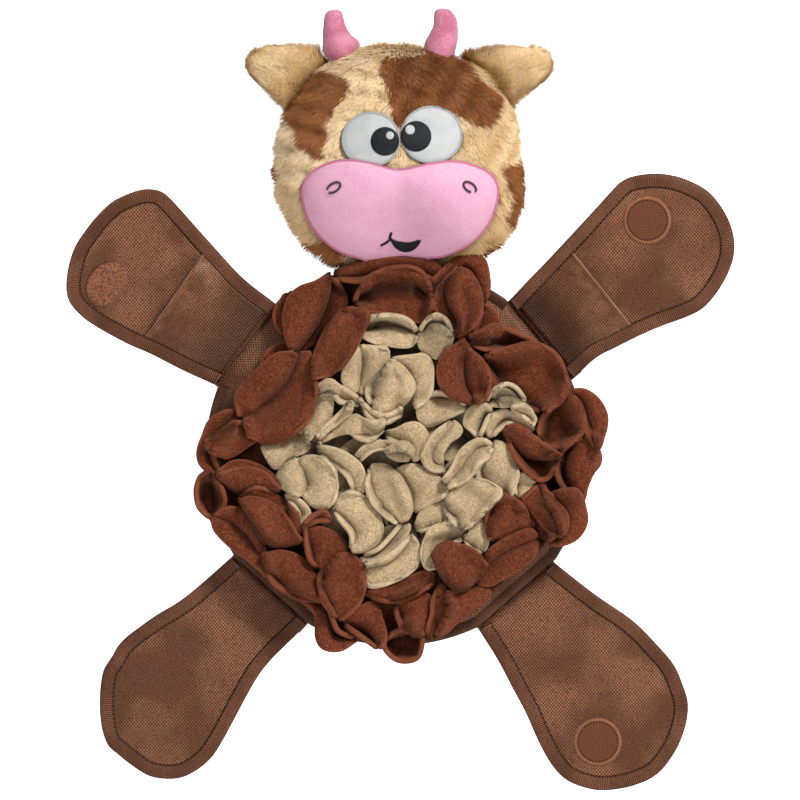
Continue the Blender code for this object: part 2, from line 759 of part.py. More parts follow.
def patch(name, pivot, slot, centre, reach_of, steps, low, high, crown=0.0, grow=0.0):
    rings = patch_rings(centre, reach_of, steps, low, high, crown, grow)
    rings = [[p - pivot.location for p in ring] for ring in rings]
    return loft(name, rings, slot, pivot, smooth=grow == 0)


def patch_pair(name, pivot, slot, centre, reach_of, steps, low, high, crown=0.0):
    """A patch, and the larger and deeper shape that it cuts out of what lies on it."""
    made = patch(name, pivot, slot, centre, reach_of, steps, low, high, crown)
    cutter = patch(
        f"{name}_cutter", pivot, slot, centre, reach_of, steps, 2 * low, high, crown, grow=CLEARANCE
    )
    return made, cutter


def round_reach(radius_share):
    return lambda azimuth: HEAD_RADIUS * radius_share


def ellipse_reach(halves, tilt):
    """A reach function for an ellipse of two half axes, turned by tilt in degrees."""
    a, b = halves

    def reach(azimuth):
        angle = math.radians(azimuth - tilt)
        return a * b / math.hypot(b * math.cos(angle), a * math.sin(angle))

    return reach


def build_face(slots, pivot, head_cutter):
    """The muzzle, eyes, nostrils and mouth, each cut by what it lies on."""
    deep = -MUZZLE_THICK

    def muzzle_reach(azimuth):
        return HEAD_RADIUS * around(MUZZLE_REACH_SHARES, azimuth)

    def mouth_reach(azimuth):
        return HEAD_RADIUS * around(MOUTH_REACH_SHARES, azimuth)

    muzzle_shape = (MUZZLE_CENTRE_SHARES, muzzle_reach, MUZZLE_SIDES)
    muzzle, muzzle_cutter = patch_pair(
        "muzzle", pivot, slots["muzzle"], *muzzle_shape, deep, MUZZLE_THICK, MUZZLE_CROWN
    )
    cut(muzzle, head_cutter)

    pupil_top = EYE_THICK + CLEARANCE + STITCH_THICK
    glint_top = pupil_top + CLEARANCE + STITCH_THICK
    for side, (centre, radius_share) in EYE_SHARES.items():
        shape = (centre, round_reach(radius_share), EYE_SIDES)
        white, white_cutter = patch_pair(f"{side}_eye_white", pivot, slots["felt"], *shape, deep, EYE_THICK)
        cut(white, head_cutter, muzzle_cutter)

        centre, radius_share = PUPIL_SHARES[side]
        shape = (centre, round_reach(radius_share), PUPIL_SIDES)
        pupil, pupil_cutter = patch_pair(f"{side}_pupil", pivot, slots["black"], *shape, deep, pupil_top)
        cut(pupil, head_cutter, white_cutter, muzzle_cutter)

        centre, radius_share = GLINT_SHARES[side]
        shape = (centre, round_reach(radius_share), GLINT_SIDES)
        glint = patch(f"{side}_glint", pivot, slots["felt"], *shape, 0, glint_top)
        cut(glint, pupil_cutter)

    top = MUZZLE_THICK + MUZZLE_CROWN + CLEARANCE + STITCH_THICK
    for side, (centre, half_shares) in NOSTRIL_SHARES.items():
        sizes = [HEAD_RADIUS * half for half in half_shares]
        reaches = [
            ellipse_reach(sizes, NOSTRIL_TILTS[side]),
            ellipse_reach([size - NOSTRIL_LINE for size in sizes], NOSTRIL_TILTS[side]),
        ]
        x0, y0 = face_point(centre)
        grids = []
        for lift in (top, 0):
            grid = []
            for azimuth in (360 * k / NOSTRIL_SIDES for k in range(NOSTRIL_SIDES)):
                ways = [turn(azimuth) * reach(azimuth) for reach in reaches]
                spots = [(x0 + way.x, y0 + way.y) for way in ways]
                grid.append([Vector((x, y, head_height(x, y) + lift)) - pivot.location for x, y in spots])
            grids.append(grid)
        nostril = sheet(f"{side}_nostril", *grids, slots["black"], pivot, closed_rows=True)
        cut(nostril, muzzle_cutter)
    mouth_shape = (MOUTH_CENTRE_SHARES, mouth_reach, MOUTH_SIDES)
    mouth = patch("mouth", pivot, slots["black"], *mouth_shape, 0, top)
    cut(mouth, muzzle_cutter)


def build_horns(slots, pivot, head_cutter):
    """Two curved stuffed horns, their bases cut by the head."""
    for side, path in HORN_PATH_SHARES.items():
        base, bend, tip = (Vector((*face_point(shares), HORN_HEIGHT)) for shares in path)
        rings = []
        for t in (k / (HORN_RINGS - 1) for k in range(HORN_RINGS)):
            centre = base * (1 - t) ** 2 + bend * (2 * t * (1 - t)) + tip * t**2
            along = ((bend - base) * (1 - t) + (tip - bend) * t).normalized()
            across = Vector((along.y, -along.x, 0))
            radius = HORN_TIP_RADIUS + (HORN_BASE_RADIUS - HORN_TIP_RADIUS) * (1 - t) ** HORN_TAPER_POWER
            radius *= HORN_END_SHARE if t == 1 else 1
            ring = []
            for angle in (math.tau * k / HORN_SIDES for k in range(HORN_SIDES)):
                way = across * math.cos(angle) + Vector((0, 0, math.sin(angle)))
                ring.append(centre + way * radius - pivot.location)
            rings.append(ring)
        horn = loft(f"{side}_horn", rings, slots["horn"], pivot)
        cut(horn, head_cutter)


def head_support(azimuth):
    """How far the head reaches in a direction, as a straightedge laid against it would find."""
    turns = [azimuth + k for k in range(-60, 61, 2)]
    return max(head_reach(a) * math.cos(math.radians(a - azimuth)) for a in turns)


def build_ears(slots, head_pivot):
    """Two flat stuffed ears, each with a rounded root on its hinge axis."""
    for side, (azimuth, shift, lean) in EARS.items():
        distance = head_support(azimuth) + CLEARANCE + EAR_ROOT_RADIUS
        way = turn(azimuth) * distance + turn(azimuth + 90) * shift
        place = Vector((HEAD_X + way.x, HEAD_Y + way.y, HEAD_RIM))
        pivot = add_pivot(f"{side}_ear_hinge", place - head_pivot.location, azimuth, head_pivot)
        rows = [
            (-EAR_ROOT_RADIUS * behind, EAR_ROOT_RADIUS * half, *EAR_STATION_SHARES[0][1:])
            for behind, half in EAR_ROOT_SHARES
        ]
        rows += [(EAR_LENGTH * along, EAR_THICK, *edges) for along, *edges in EAR_STATION_SHARES]
        upper, lower = [], []
        for x, most, low_edge, high_edge, thick_share in rows:
            high, low = [], []
            for across in EAR_ACROSS_SHARES:
                edge = low_edge + (high_edge - low_edge) * across
                swell = math.sqrt(1 - (2 * across - 1) ** 2)
                half = EAR_EDGE_THICK / 2 + (EAR_THICK * thick_share - EAR_EDGE_THICK) / 2 * swell
                y = EAR_ROOT_HALF * edge * lean
                high.append(Vector((x, y, min(half, most))))
                low.append(Vector((x, y, -min(half, most))))
            upper.append(high)
            lower.append(low)
        sheet(f"{side}_ear", upper, lower, slots["plush"], pivot)


def main():
    for thing in list(bpy.data.objects):
        bpy.data.objects.remove(thing)
    slots = {
        "oxford": material("oxford_cloth", BROWN_OXFORD, 0.6),
        "tape": material("binding_tape", BROWN_TAPE, 0.7),
        "brown_fleece": material("brown_fleece", BROWN_FLEECE, 0.95),
        "tan_fleece": material("tan_fleece", TAN_FLEECE, 0.95),
        "plush": material("plush_fur", GOLDEN_PLUSH, 0.9),
        "muzzle": material("muzzle_velvet", PINK_VELVET, 0.6),
        "horn": material("horn_velvet", DEEP_PINK, 0.7),
        "felt": material("white_felt", WHITE_FELT, 0.7),
        "black": material("black_thread", BLACK_THREAD, 0.5),
        "wadding": material("wadding", WADDING, 1.0),
        "hook": material("hook_patch", HOOK_BROWN, 0.8),
        "loop": material("loop_patch", LOOP_BROWN, 0.95),
    }
    build_mat(slots)
    legs = {name: Leg(name) for name in LEG_AZIMUTHS}
    for leg in legs.values():
        build_leg(leg, slots)
    build_pocket(legs["front_left"], slots)
    build_pocket(legs["front_right"], slots)
    for name, (leg, along, across, face) in COIN_PLACE_SHARES.items():
        slot = slots["hook" if "hook" in name else "loop"]
        build_coin(name, legs[leg], along, across, face, slot)
    build_petals(slots)
    pivot = add_pivot("neck_hinge", Vector((0, HINGE_REACH, HINGE_Z)))
    head_cutter = build_head(slots, pivot)
    build_face(slots, pivot, head_cutter)
    build_horns(slots, pivot, head_cutter)
    build_ears(slots, pivot)


main()
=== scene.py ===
"""How the plush snuffle toy looks: the visible pieces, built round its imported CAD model.

The CAD solids carry the sizes, joints and collision. Here every fleece disc is a folded sheet of its
own, the legs are bound cloth, and the head is stuffed plush with strands of fur. Places on the toy that
were read from the photograph are in its pixels, and spot() turns them into metres. Metres, +Z up,
+Y towards the head, and the origin is at the mat's centre on its underside.
"""

import math

import bpy
import numpy as np
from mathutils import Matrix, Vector


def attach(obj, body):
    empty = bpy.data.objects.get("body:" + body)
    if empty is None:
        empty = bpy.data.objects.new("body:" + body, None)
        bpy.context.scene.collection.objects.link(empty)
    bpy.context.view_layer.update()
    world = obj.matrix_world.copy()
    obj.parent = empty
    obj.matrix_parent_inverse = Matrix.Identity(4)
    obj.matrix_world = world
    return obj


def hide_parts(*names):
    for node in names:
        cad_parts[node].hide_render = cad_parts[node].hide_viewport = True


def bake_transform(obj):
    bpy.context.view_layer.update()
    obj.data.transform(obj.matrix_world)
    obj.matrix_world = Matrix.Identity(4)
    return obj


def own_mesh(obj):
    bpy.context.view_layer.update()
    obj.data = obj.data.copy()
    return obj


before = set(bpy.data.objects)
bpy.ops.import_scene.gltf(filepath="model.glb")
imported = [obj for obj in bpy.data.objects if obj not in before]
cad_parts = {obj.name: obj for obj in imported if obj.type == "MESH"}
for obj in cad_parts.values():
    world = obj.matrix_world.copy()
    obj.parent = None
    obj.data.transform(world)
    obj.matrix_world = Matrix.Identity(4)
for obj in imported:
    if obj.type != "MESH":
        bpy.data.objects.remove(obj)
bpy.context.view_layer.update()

# The photograph: metres to a pixel, and the pixel of the mat's middle
PIXEL = 0.000537
MAT_PIXEL = (396, 455)
PHOTO_PIXELS = 800

# Cloth, tape and mat, as in the CAD model
MAT_RADIUS = 0.1025
SEAM_HALF = 0.027
SEAM_REACH = math.sqrt(MAT_RADIUS**2 - SEAM_HALF**2)
HINGE_REACH = SEAM_REACH + 0.0014
HINGE_Z = 0.0017
RIM_THICK = 0.0037
MAT_THICK = 0.0058
TAPE_WIDTH = 0.0078
LEG_AZIMUTHS = {"front_right": 39.5, "front_left": 142.7, "rear_left": 228.0, "rear_right": 311.5}
NECK_AZIMUTH = 90.0

# Legs: half the seam's length, how far its middle is off the leg's own line and towards which side (1 is
# anticlockwise), and the outline in the photograph's pixels, from the seam's anticlockwise end round the
# tip to its other end, read one by one
LEG_SEAM_HALF = 0.02725
LEG_SEAM_SHIFT = 0.00175
LEG_WIDE_SIDES = {"front_right": -1, "front_left": 1, "rear_left": -1, "rear_right": -1}
LEG_OUTLINES = {
    "front_right": (
        (529.7, 278.6), (551.3, 256.2), (572.9, 233), (596, 208), (611, 191.5), (621, 181.6), (634.2, 175.8),
        (655.8, 173.3), (675.7, 175.8), (693.9, 182.4), (708.8, 191.5), (720.4, 204.8), (729.6, 221.4),
        (734.5, 239.6), (733.7, 257.8), (727, 276.1), (717, 292.7), (703.8, 307.6), (687.3, 316.7),
        (662.4, 325.8), (639.2, 335.8), (616, 347.4), (596, 358),
    ),
    "front_left": (
        (213, 386.6), (182, 370), (151.8, 354.5), (127.3, 343.8), (96.7, 327), (80, 314.7), (69.2, 301),
        (66.6, 285.5), (69.2, 265.7), (75.3, 247.3), (86, 230.5), (99.8, 213.7), (113.6, 201.4),
        (128.9, 193.8), (142.7, 189.6), (154.9, 189.6), (164, 193), (173.3, 201.4), (187, 216.7),
        (213, 245.8), (243, 278), (272.8, 310),
    ),
    "rear_left": (
        (296.8, 634), (285.7, 645.2), (271.3, 659.6), (258.6, 675.5), (245.8, 697.8), (234.7, 718.6),
        (223.5, 739.3), (212.3, 756.8), (198, 769.6), (182, 777.6), (166.1, 779.2), (148.6, 776),
        (132.6, 766.4), (118.3, 755.2), (107.9, 745.7), (102.3, 731.3), (99.9, 715.4), (99.5, 699.4),
        (100.7, 683.5), (103.9, 669.1), (111.9, 656.4), (118.3, 645.2), (127.8, 635.7), (140.6, 626.1),
        (156.5, 614.9), (178.9, 601.4), (201.2, 583.8), (220.3, 567.9),
    ),
    "rear_right": (
        (565.5, 569.7), (595.2, 594.4), (633.1, 620.8), (657.8, 645.5), (674.3, 665.3), (684.2, 688.3),
        (688.3, 704.8), (685.8, 726.3), (675.9, 751), (657.8, 774.1), (634.7, 785.6), (608.3, 790.5),
        (588.6, 788.9), (567.1, 780.6), (552.3, 765.8), (539.1, 742.7), (525.9, 713.1), (514.4, 691.6),
        (497.9, 660.3), (474.8, 630.7),
    ),
}
# The outline is used from this distance from the seam. The bent leg's tip rises in steps, each given as a
# share of the leg's length and the slope from there on in degrees
LEG_OUTLINE_START = 0.010
LEG_STATIONS = 220
BENT_LEG = "front_left"
BENT_LENGTH = 0.108
TIP_BEND_SHARES = ((0.52, 11.0), (0.57, 22.0), (0.62, 33.0))

# Head: its radius, middle, top and the height of its rim, how far the fur stands out, and its outline as
# shares of the radius, anticlockwise from +X
HEAD_RADIUS = 0.065
HEAD_X = 0.0032
HEAD_Y = 0.1611
HEAD_MIDDLE = np.array([HEAD_X, HEAD_Y])
HEAD_TOP = 0.0585
HEAD_RIM = 0.024
FUR_OUT = 0.0030
NECK_REACH = HEAD_Y - HINGE_REACH
HEAD_REACH_SHARES = (
    0.975, 0.985, 0.985, 0.97, 0.95, 0.955, 0.99, 1.0, 1.0, 1.03,
    1.05, 1.09, 1.08, 1.07, 1.01, 0.97, 0.99, 1.06, 1.095, 1.06,
)

# Geometry helpers


def spot(px, py):
    """A pixel of the photograph as a place on the toy, in metres."""
    return np.array([(px - MAT_PIXEL[0]) * PIXEL, (MAT_PIXEL[1] - py) * PIXEL])


def spots(points):
    """Places of pixels, given as pairs or as one flat row of x, y, x, y."""
    return np.array([spot(*p) for p in np.reshape(points, (-1, 2))])


def turn(azimuth):
    """A level direction."""
    angle = math.radians(azimuth)
    return np.array([math.cos(angle), math.sin(angle), 0.0])


def ease(share):
    """A smooth rise from 0 to 1, level at both ends."""
    return (1 - np.cos(np.pi * np.clip(share, 0, 1))) / 2


def around(shares, azimuths):
    """Reads a closed outline's shares at any azimuths, on a smooth curve through them."""
    shares = np.array(shares)
    place = (np.asarray(azimuths) % 360) / 360 * len(shares)
    first = np.floor(place).astype(int)
    t = place - first
    a, b, c, d = (shares[(first + k) % len(shares)] for k in (-1, 0, 1, 2))
    slope_b, slope_c = (c - a) / 2, (d - b) / 2
    bend = 3 * (c - b) - 2 * slope_b - slope_c
    return b + slope_b * t + bend * t**2 + (2 * (b - c) + slope_b + slope_c) * t**3


CURVE_STEPS = 14


def smooth_line(points, places):
    """Points on a smooth curve through a line's corners, at places from 0 to 1 along its length."""
    points = np.array(points, float)
    if len(points) > 2:
        ends = np.vstack([2 * points[0] - points[1], points, 2 * points[-1] - points[-2]])
        dense = []
        for k in range(1, len(points)):
            a, b, c, d = ends[k - 1 : k + 3]
            for t in np.arange(CURVE_STEPS) / CURVE_STEPS:
                dense.append(
                    b + (c - a) / 2 * t + (a - 2.5 * b + 2 * c - d / 2) * t**2
                    + (1.5 * (b - c) + (d - a) / 2) * t**3
                )
        points = np.array(dense + [points[-1]])
    gaps = np.linalg.norm(np.diff(points, axis=0), axis=1)
    along = np.concatenate([[0], np.cumsum(gaps)]) / gaps.sum()
    return np.stack([np.interp(places, along, column) for column in points.T], axis=1)


WAVE_COUNT = 7
WAVE_SPEEDS = (0.6, 1.5)
WAVE_GAIN = 1.6


def waves(points, length, seed):
    """A smooth random field from -1 to 1 at points, whose bumps are about a length across."""
    made = np.random.default_rng(seed)
    points = np.asarray(points, float)
    ways = made.normal(size=(WAVE_COUNT, points.shape[-1]))
    ways = unit(ways)
    speeds = made.uniform(*WAVE_SPEEDS, WAVE_COUNT) * math.pi / length
    phases = made.uniform(0, math.tau, WAVE_COUNT)
    return np.sin((points @ ways.T) * speeds + phases).sum(axis=-1) / WAVE_COUNT * WAVE_GAIN


LEAST_NORMAL = 1e-12


def unit(vectors, least=0.0):
    """Vectors made one long, or divided by least where they are shorter than that."""
    return vectors / np.maximum(np.linalg.norm(vectors, axis=1), least)[:, None]


def run_along(line):
    """How far along a line each of its points is."""
    return np.concatenate([[0], np.cumsum(np.linalg.norm(np.diff(line, axis=0), axis=1))])


def closed_line(pixels, count):
    """Places on a smooth closed curve through pixels of the photograph."""
    return smooth_line(np.vstack([spots(pixels), spots(pixels[:1])]), np.arange(count) / count)


def grid_normals(grid):
    """Unit normals of a grid of points, rows by columns."""
    normals = np.cross(np.gradient(grid, axis=0), np.gradient(grid, axis=1))
    lengths = np.linalg.norm(normals, axis=2, keepdims=True)
    return normals / np.maximum(lengths, 1e-12)


def point_values(mesh, name, kind, key, values):
    """Stores a value for each point of a mesh."""
    mesh.attributes.new(name, kind, "POINT").data.foreach_set(key, np.asarray(values, np.float32).ravel())


def smooth_object(name, mesh, material):
    """Puts a mesh into the scene as a smooth object."""
    mesh.polygons.foreach_set("use_smooth", [True] * len(mesh.polygons))
    mesh.update()
    made = bpy.data.objects.new(name, mesh)
    bpy.context.scene.collection.objects.link(made)
    mesh.materials.append(material)
    return made


def mesh_object(name, points, faces, material, flat=None):
    """A smooth object of points and faces. flat is each point's place on the cloth, in metres."""
    mesh = bpy.data.meshes.new(name)
    mesh.from_pydata(np.asarray(points, float).tolist(), [], [list(map(int, f)) for f in faces])
    if flat is not None:
        point_values(mesh, "flat", "FLOAT_VECTOR", "vector", flat)
    return smooth_object(name, mesh, material)


def grid_faces(rows, columns, first=0, ring=False, flip=False):
    """Quads over a grid of points that are numbered row by row."""
    faces = []
    for r in range(rows - 1):
        for c in range(columns if ring else columns - 1):
            d = (c + 1) % columns
            quad = [r * columns + c, r * columns + d, (r + 1) * columns + d, (r + 1) * columns + c]
            quad = [first + k for k in quad]
            faces.append(quad[::-1] if flip else quad)
    return faces


def shell(name, middle, half, material, flat=None):
    """A closed sheet: a grid's two faces, half a thickness each side, joined round the border."""
    rows, columns = middle.shape[:2]
    offset = grid_normals(middle) * np.broadcast_to(half, (rows, columns))[..., None]
    points = np.concatenate([(middle + offset).reshape(-1, 3), (middle - offset).reshape(-1, 3)])
    lower = rows * columns
    faces = grid_faces(rows, columns, flip=True) + grid_faces(rows, columns, lower)
    border = list(range(columns))
    border += [r * columns + columns - 1 for r in range(1, rows)]
    border += [(rows - 1) * columns + c for c in range(columns - 2, -1, -1)]
    border += [r * columns for r in range(rows - 2, 0, -1)]
    for one, other in zip(border, border[1:] + border[:1]):
        faces.append([one, other, lower + other, lower + one])
    if flat is not None:
        flat = np.concatenate([flat.reshape(-1, 3)] * 2)
    return mesh_object(name, points, faces, material, flat)


def ring_object(name, grid, material, flip=False, flat=None):
    """A body of rings of points, one inside or above another, with a face that fills each end."""
    rows, columns = grid.shape[:2]
    faces = grid_faces(rows, columns, ring=True, flip=flip)
    first, last = list(range(columns)), [(rows - 1) * columns + c for c in range(columns)]
    faces += [first, last[::-1]] if flip else [first[::-1], last]
    return mesh_object(name, grid.reshape(-1, 3), faces, material, flat)


def tube(name, sections, material, flat=None, closed=False):
    """A band: the same ring of points at each station, joined end to end or with its ends filled."""
    stations, around_count = sections.shape[:2]
    points = sections.reshape(-1, 3)
    faces = grid_faces(stations, around_count, ring=True)
    if closed:
        last = (stations - 1) * around_count
        for c in range(around_count):
            d = (c + 1) % around_count
            faces.append([last + c, last + d, d, c])
    else:
        faces.append(list(range(around_count)))
        faces.append([(stations - 1) * around_count + c for c in range(around_count)][::-1])
    return mesh_object(name, points, faces, material, None if flat is None else flat.reshape(-1, 3))


# Materials

WHITE = (1.0, 1.0, 1.0)
SHEEN_ROUGHNESS = 0.45


class Paint:
    """A material whose node tree is built with short calls."""

    def __init__(self, name, roughness, sheen=0.0, specular=0.3, sheen_tint=WHITE, gloss_tint=WHITE):
        self.material = bpy.data.materials.new(name)
        self.material.use_nodes = True
        self.tree = self.material.node_tree
        self.shader = self.tree.nodes["Principled BSDF"]
        values = {
            "Roughness": roughness,
            "Specular IOR Level": specular,
            "Specular Tint": (*gloss_tint, 1),
            "Sheen Weight": sheen,
            "Sheen Roughness": SHEEN_ROUGHNESS,
            "Sheen Tint": (*sheen_tint, 1),
        }
        for key, value in values.items():
            self.shader.inputs[key].default_value = value

    def add(self, kind, inputs, **settings):
        """Adds a node, links or sets each of its inputs, and returns its first output."""
        node = self.tree.nodes.new(kind)
        for key, value in settings.items():
            setattr(node, key, value)
        for key, value in inputs.items():
            if isinstance(value, bpy.types.NodeSocket):
                self.tree.links.new(value, node.inputs[key])
            else:
                node.inputs[key].default_value = value
        return node.outputs[0]

    def math(self, operation, one, other=0.0):
        return self.add("ShaderNodeMath", {0: one, 1: other}, operation=operation)

    def times(self, one, other):
        return self.math("MULTIPLY", one, other)

    def ripple(self, value, pitch):
        """A sine wave of a value, from -1 to 1, with a pitch from one crest to the next."""
        return self.math("SINE", self.times(value, math.tau / pitch))

    def flat(self):
        """The place on the cloth in metres, as three values."""
        node = self.add("ShaderNodeAttribute", {}, attribute_name="flat").node
        split = self.add("ShaderNodeSeparateXYZ", {0: node.outputs["Vector"]}).node
        return split.outputs[0], split.outputs[1], split.outputs[2]

    def places(self):
        """The place in the toy's frame."""
        return self.add("ShaderNodeTexCoord", {}).node.outputs["Object"]

    def noise(self, vector, size, detail=2.0, rough=0.5):
        """Random values around 0.5 whose spots are about a size across."""
        inputs = {"Vector": vector, "Scale": 1 / size, "Detail": detail, "Roughness": rough}
        return self.add("ShaderNodeTexNoise", inputs)

    def between(self, value, low, high):
        """0 where a value is at most low, 1 where it is at least high, and smooth between."""
        inputs = {"Value": value, "From Min": low, "From Max": high}
        return self.add("ShaderNodeMapRange", inputs, interpolation_type="SMOOTHSTEP")

    def blend(self, share, one, other, kind="MIX"):
        """One colour where a share is 0, and the other, or their product, where it is 1."""
        one, other = ((*value, 1) if isinstance(value, tuple) else value for value in (one, other))
        mixed = self.add("ShaderNodeMix", {0: share, 6: one, 7: other}, data_type="RGBA", blend_type=kind)
        return mixed.node.outputs[2]

    def multiply(self, one, other, amount=1.0):
        return self.blend(amount, one, other, "MULTIPLY")

    def darken(self, colour, share, least):
        """A colour, times least where a share is 0 and times 1 where it is 1."""
        return self.multiply(colour, self.blend(share, (least, least, least), WHITE))

    def finish(self, colour, height=None, depth=0.0):
        """Joins a colour, and a bump from heights from 0 to 1 that are a depth high, to the shader."""
        self.tree.links.new(colour, self.shader.inputs["Base Color"])
        if height is not None:
            bump = self.add("ShaderNodeBump", {"Height": height, "Strength": 1.0, "Distance": depth})
            self.tree.links.new(bump, self.shader.inputs["Normal"])
        return self.material


# Oxford: the pitch of its threads both ways, how broad its patches of painted sheen are, how fine its
# unevenness is, and the colours of the threads and of the pits between them, dull and lit by painted sheen
OXFORD_GLOSS = (1.0, 0.64, 0.44)
OXFORD_PITCHES = (0.00173, 0.0020)
OXFORD_BROAD, OXFORD_FINE = 0.034, 0.0010
OXFORD_THREADS = ((0.150, 0.055, 0.027), (0.325, 0.138, 0.076))
OXFORD_PITS = ((0.048, 0.0140, 0.006), (0.066, 0.0205, 0.009))
OXFORD_DEPTH = 0.00032
# The shade at a leg's seam: how far it reaches, and how dark it is
ROOT_REACH, ROOT_SHADE = 0.004, 0.55
# A pocket, by the distance from its mouth: the painted shade towards its far end, the hem and its strength
# with the size of its creases' painted light and shade, and the painted highlight along the fold at the
# mouth
FAR_RANGE, FAR_SHADE = (0.036, 0.013), 0.40
HEM_FROM, HEM_TO, HEM_STRENGTH, HEM_CREASE_SHADING = (0.0012, 0.0018), (0.0085, 0.0075), 0.35, 0.0045
MOUTH_HIGHLIGHT_RANGE, MOUTH_HIGHLIGHT_COLOUR = (0.0008, 0.0004), (0.28, 0.130, 0.074)


def oxford_material(name, turned=0.0, rooted=False, mouthed=False):
    """Woven oxford: dark pits between light threads, with soft large patches of painted sheen.

    The third flat value is the distance from a leg's seam, or from a pocket's mouth.
    """
    paint = Paint(name, 0.42, specular=0.6, gloss_tint=OXFORD_GLOSS)
    x, y, away = paint.flat()
    if turned:
        c, s = math.cos(math.radians(turned)), math.sin(math.radians(turned))
        x, y = (
            paint.math("ADD", paint.times(x, c), paint.times(y, s)),
            paint.math("SUBTRACT", paint.times(y, c), paint.times(x, s)),
        )
    crossed = paint.times(paint.ripple(x, OXFORD_PITCHES[0]), paint.ripple(y, OXFORD_PITCHES[1]))
    threads = paint.between(crossed, -0.55, 0.35)
    where = paint.places()
    # Painted sheen: broad lighter and darker patches stand in for light on the wavy satin cloth
    painted_sheen = paint.between(paint.noise(where, OXFORD_BROAD), 0.36, 0.64)
    fine = paint.noise(where, OXFORD_FINE, 3.0)
    light = paint.blend(painted_sheen, *OXFORD_THREADS)
    dark = paint.blend(painted_sheen, *OXFORD_PITS)
    colour = paint.blend(paint.times(threads, paint.between(fine, 0.22, 0.6)), dark, light)
    if rooted:
        colour = paint.darken(colour, paint.between(away, 0.0, ROOT_REACH), ROOT_SHADE)
    if mouthed:
        colour = paint.darken(colour, paint.between(away, *FAR_RANGE), FAR_SHADE)
        hem = paint.times(paint.between(away, *HEM_FROM), paint.between(away, *HEM_TO))
        # Painted light and shade: the hem's creases are lighter and darker patches of colour
        crease = paint.between(paint.noise(where, HEM_CREASE_SHADING), 0.35, 0.7)
        colour = paint.blend(paint.times(hem, HEM_STRENGTH), colour, paint.blend(crease, dark, light))
        # Painted highlight: a lighter line along the fold at the pocket's mouth
        colour = paint.blend(paint.between(away, *MOUTH_HIGHLIGHT_RANGE), colour, MOUTH_HIGHLIGHT_COLOUR)
    return paint.finish(colour, threads, OXFORD_DEPTH)


# Tape: the pitch of its ribs, how broad its patches of painted sheen are, its colours (dull, lit by painted
# sheen, and between the ribs), and the stitched line's distance from the tape's outer edge, half width,
# stitch length and colour
TAPE_GLOSS = (1.0, 0.72, 0.52)
RIB_PITCH, RIB_DEPTH = 0.00105, 0.00025
TAPE_BROAD, TAPE_FINE = 0.022, 0.0008
TAPE_DULL, TAPE_SHEEN_LIT, TAPE_DARK = (0.165, 0.058, 0.029), (0.28, 0.108, 0.058), (0.040, 0.012, 0.006)
STITCH_PLACE, STITCH_RANGE, STITCH_PITCH = 0.0073, (0.00075, 0.0003), 0.0026
STITCH_COLOUR, STITCH_DEPTH = (0.020, 0.007, 0.004), 1.5


def tape_material(name, painted_shade=1.0, stitch=True):
    """Grosgrain tape: ribs across it, and a dark stitched line along its inner edge."""
    paint = Paint(name, 0.55, specular=0.4, gloss_tint=TAPE_GLOSS)
    x, y, _ = paint.flat()
    ridge = paint.between(paint.ripple(x, RIB_PITCH), -0.55, 0.85)
    where = paint.places()
    fine = paint.noise(where, TAPE_FINE)
    # Painted shade: every colour is times the given factor, below 1 for tape that lies in shade
    dull, sheen_lit, dark = (tuple(v * painted_shade for v in colour) for colour in (TAPE_DULL, TAPE_SHEEN_LIT, TAPE_DARK))
    # Painted sheen: broad lighter and darker patches stand in for light on the shiny tape
    light = paint.blend(paint.between(paint.noise(where, TAPE_BROAD), 0.35, 0.65), dull, sheen_lit)
    colour = paint.blend(paint.times(ridge, paint.between(fine, 0.2, 0.55)), dark, light)
    height = ridge
    if stitch:
        off = paint.math("ABSOLUTE", paint.math("SUBTRACT", y, STITCH_PLACE))
        dashes = paint.between(paint.ripple(x, STITCH_PITCH), -1.6, 0.2)
        line = paint.times(paint.between(off, *STITCH_RANGE), dashes)
        colour = paint.blend(line, colour, STITCH_COLOUR)
        height = paint.math("SUBTRACT", ridge, paint.times(line, STITCH_DEPTH))
    return paint.finish(colour, height, RIB_DEPTH)


# Fleece: the size of its pile, its clumps and its broad patches, and how much of each shows
PILE_SIZE, CLUMP_SIZE, FLEECE_PATCH_SIZE = 0.00085, 0.0022, 0.016
PILE_SHARE, CLUMP_SHARE = 0.75, 0.25
FLEECE_DEPTH = 0.0015
# A painted highlight along the rim and its strength, and how far from the fold the painted shade reaches
RIM_HIGHLIGHT_RANGE, RIM_HIGHLIGHT_STRENGTH = (0.0022, 0.0008), 0.5
FOLD_SHADE_REACH = 0.0115
PATCH_SHADES = ((0.84, 0.83, 0.82), (1.08, 1.07, 1.06))


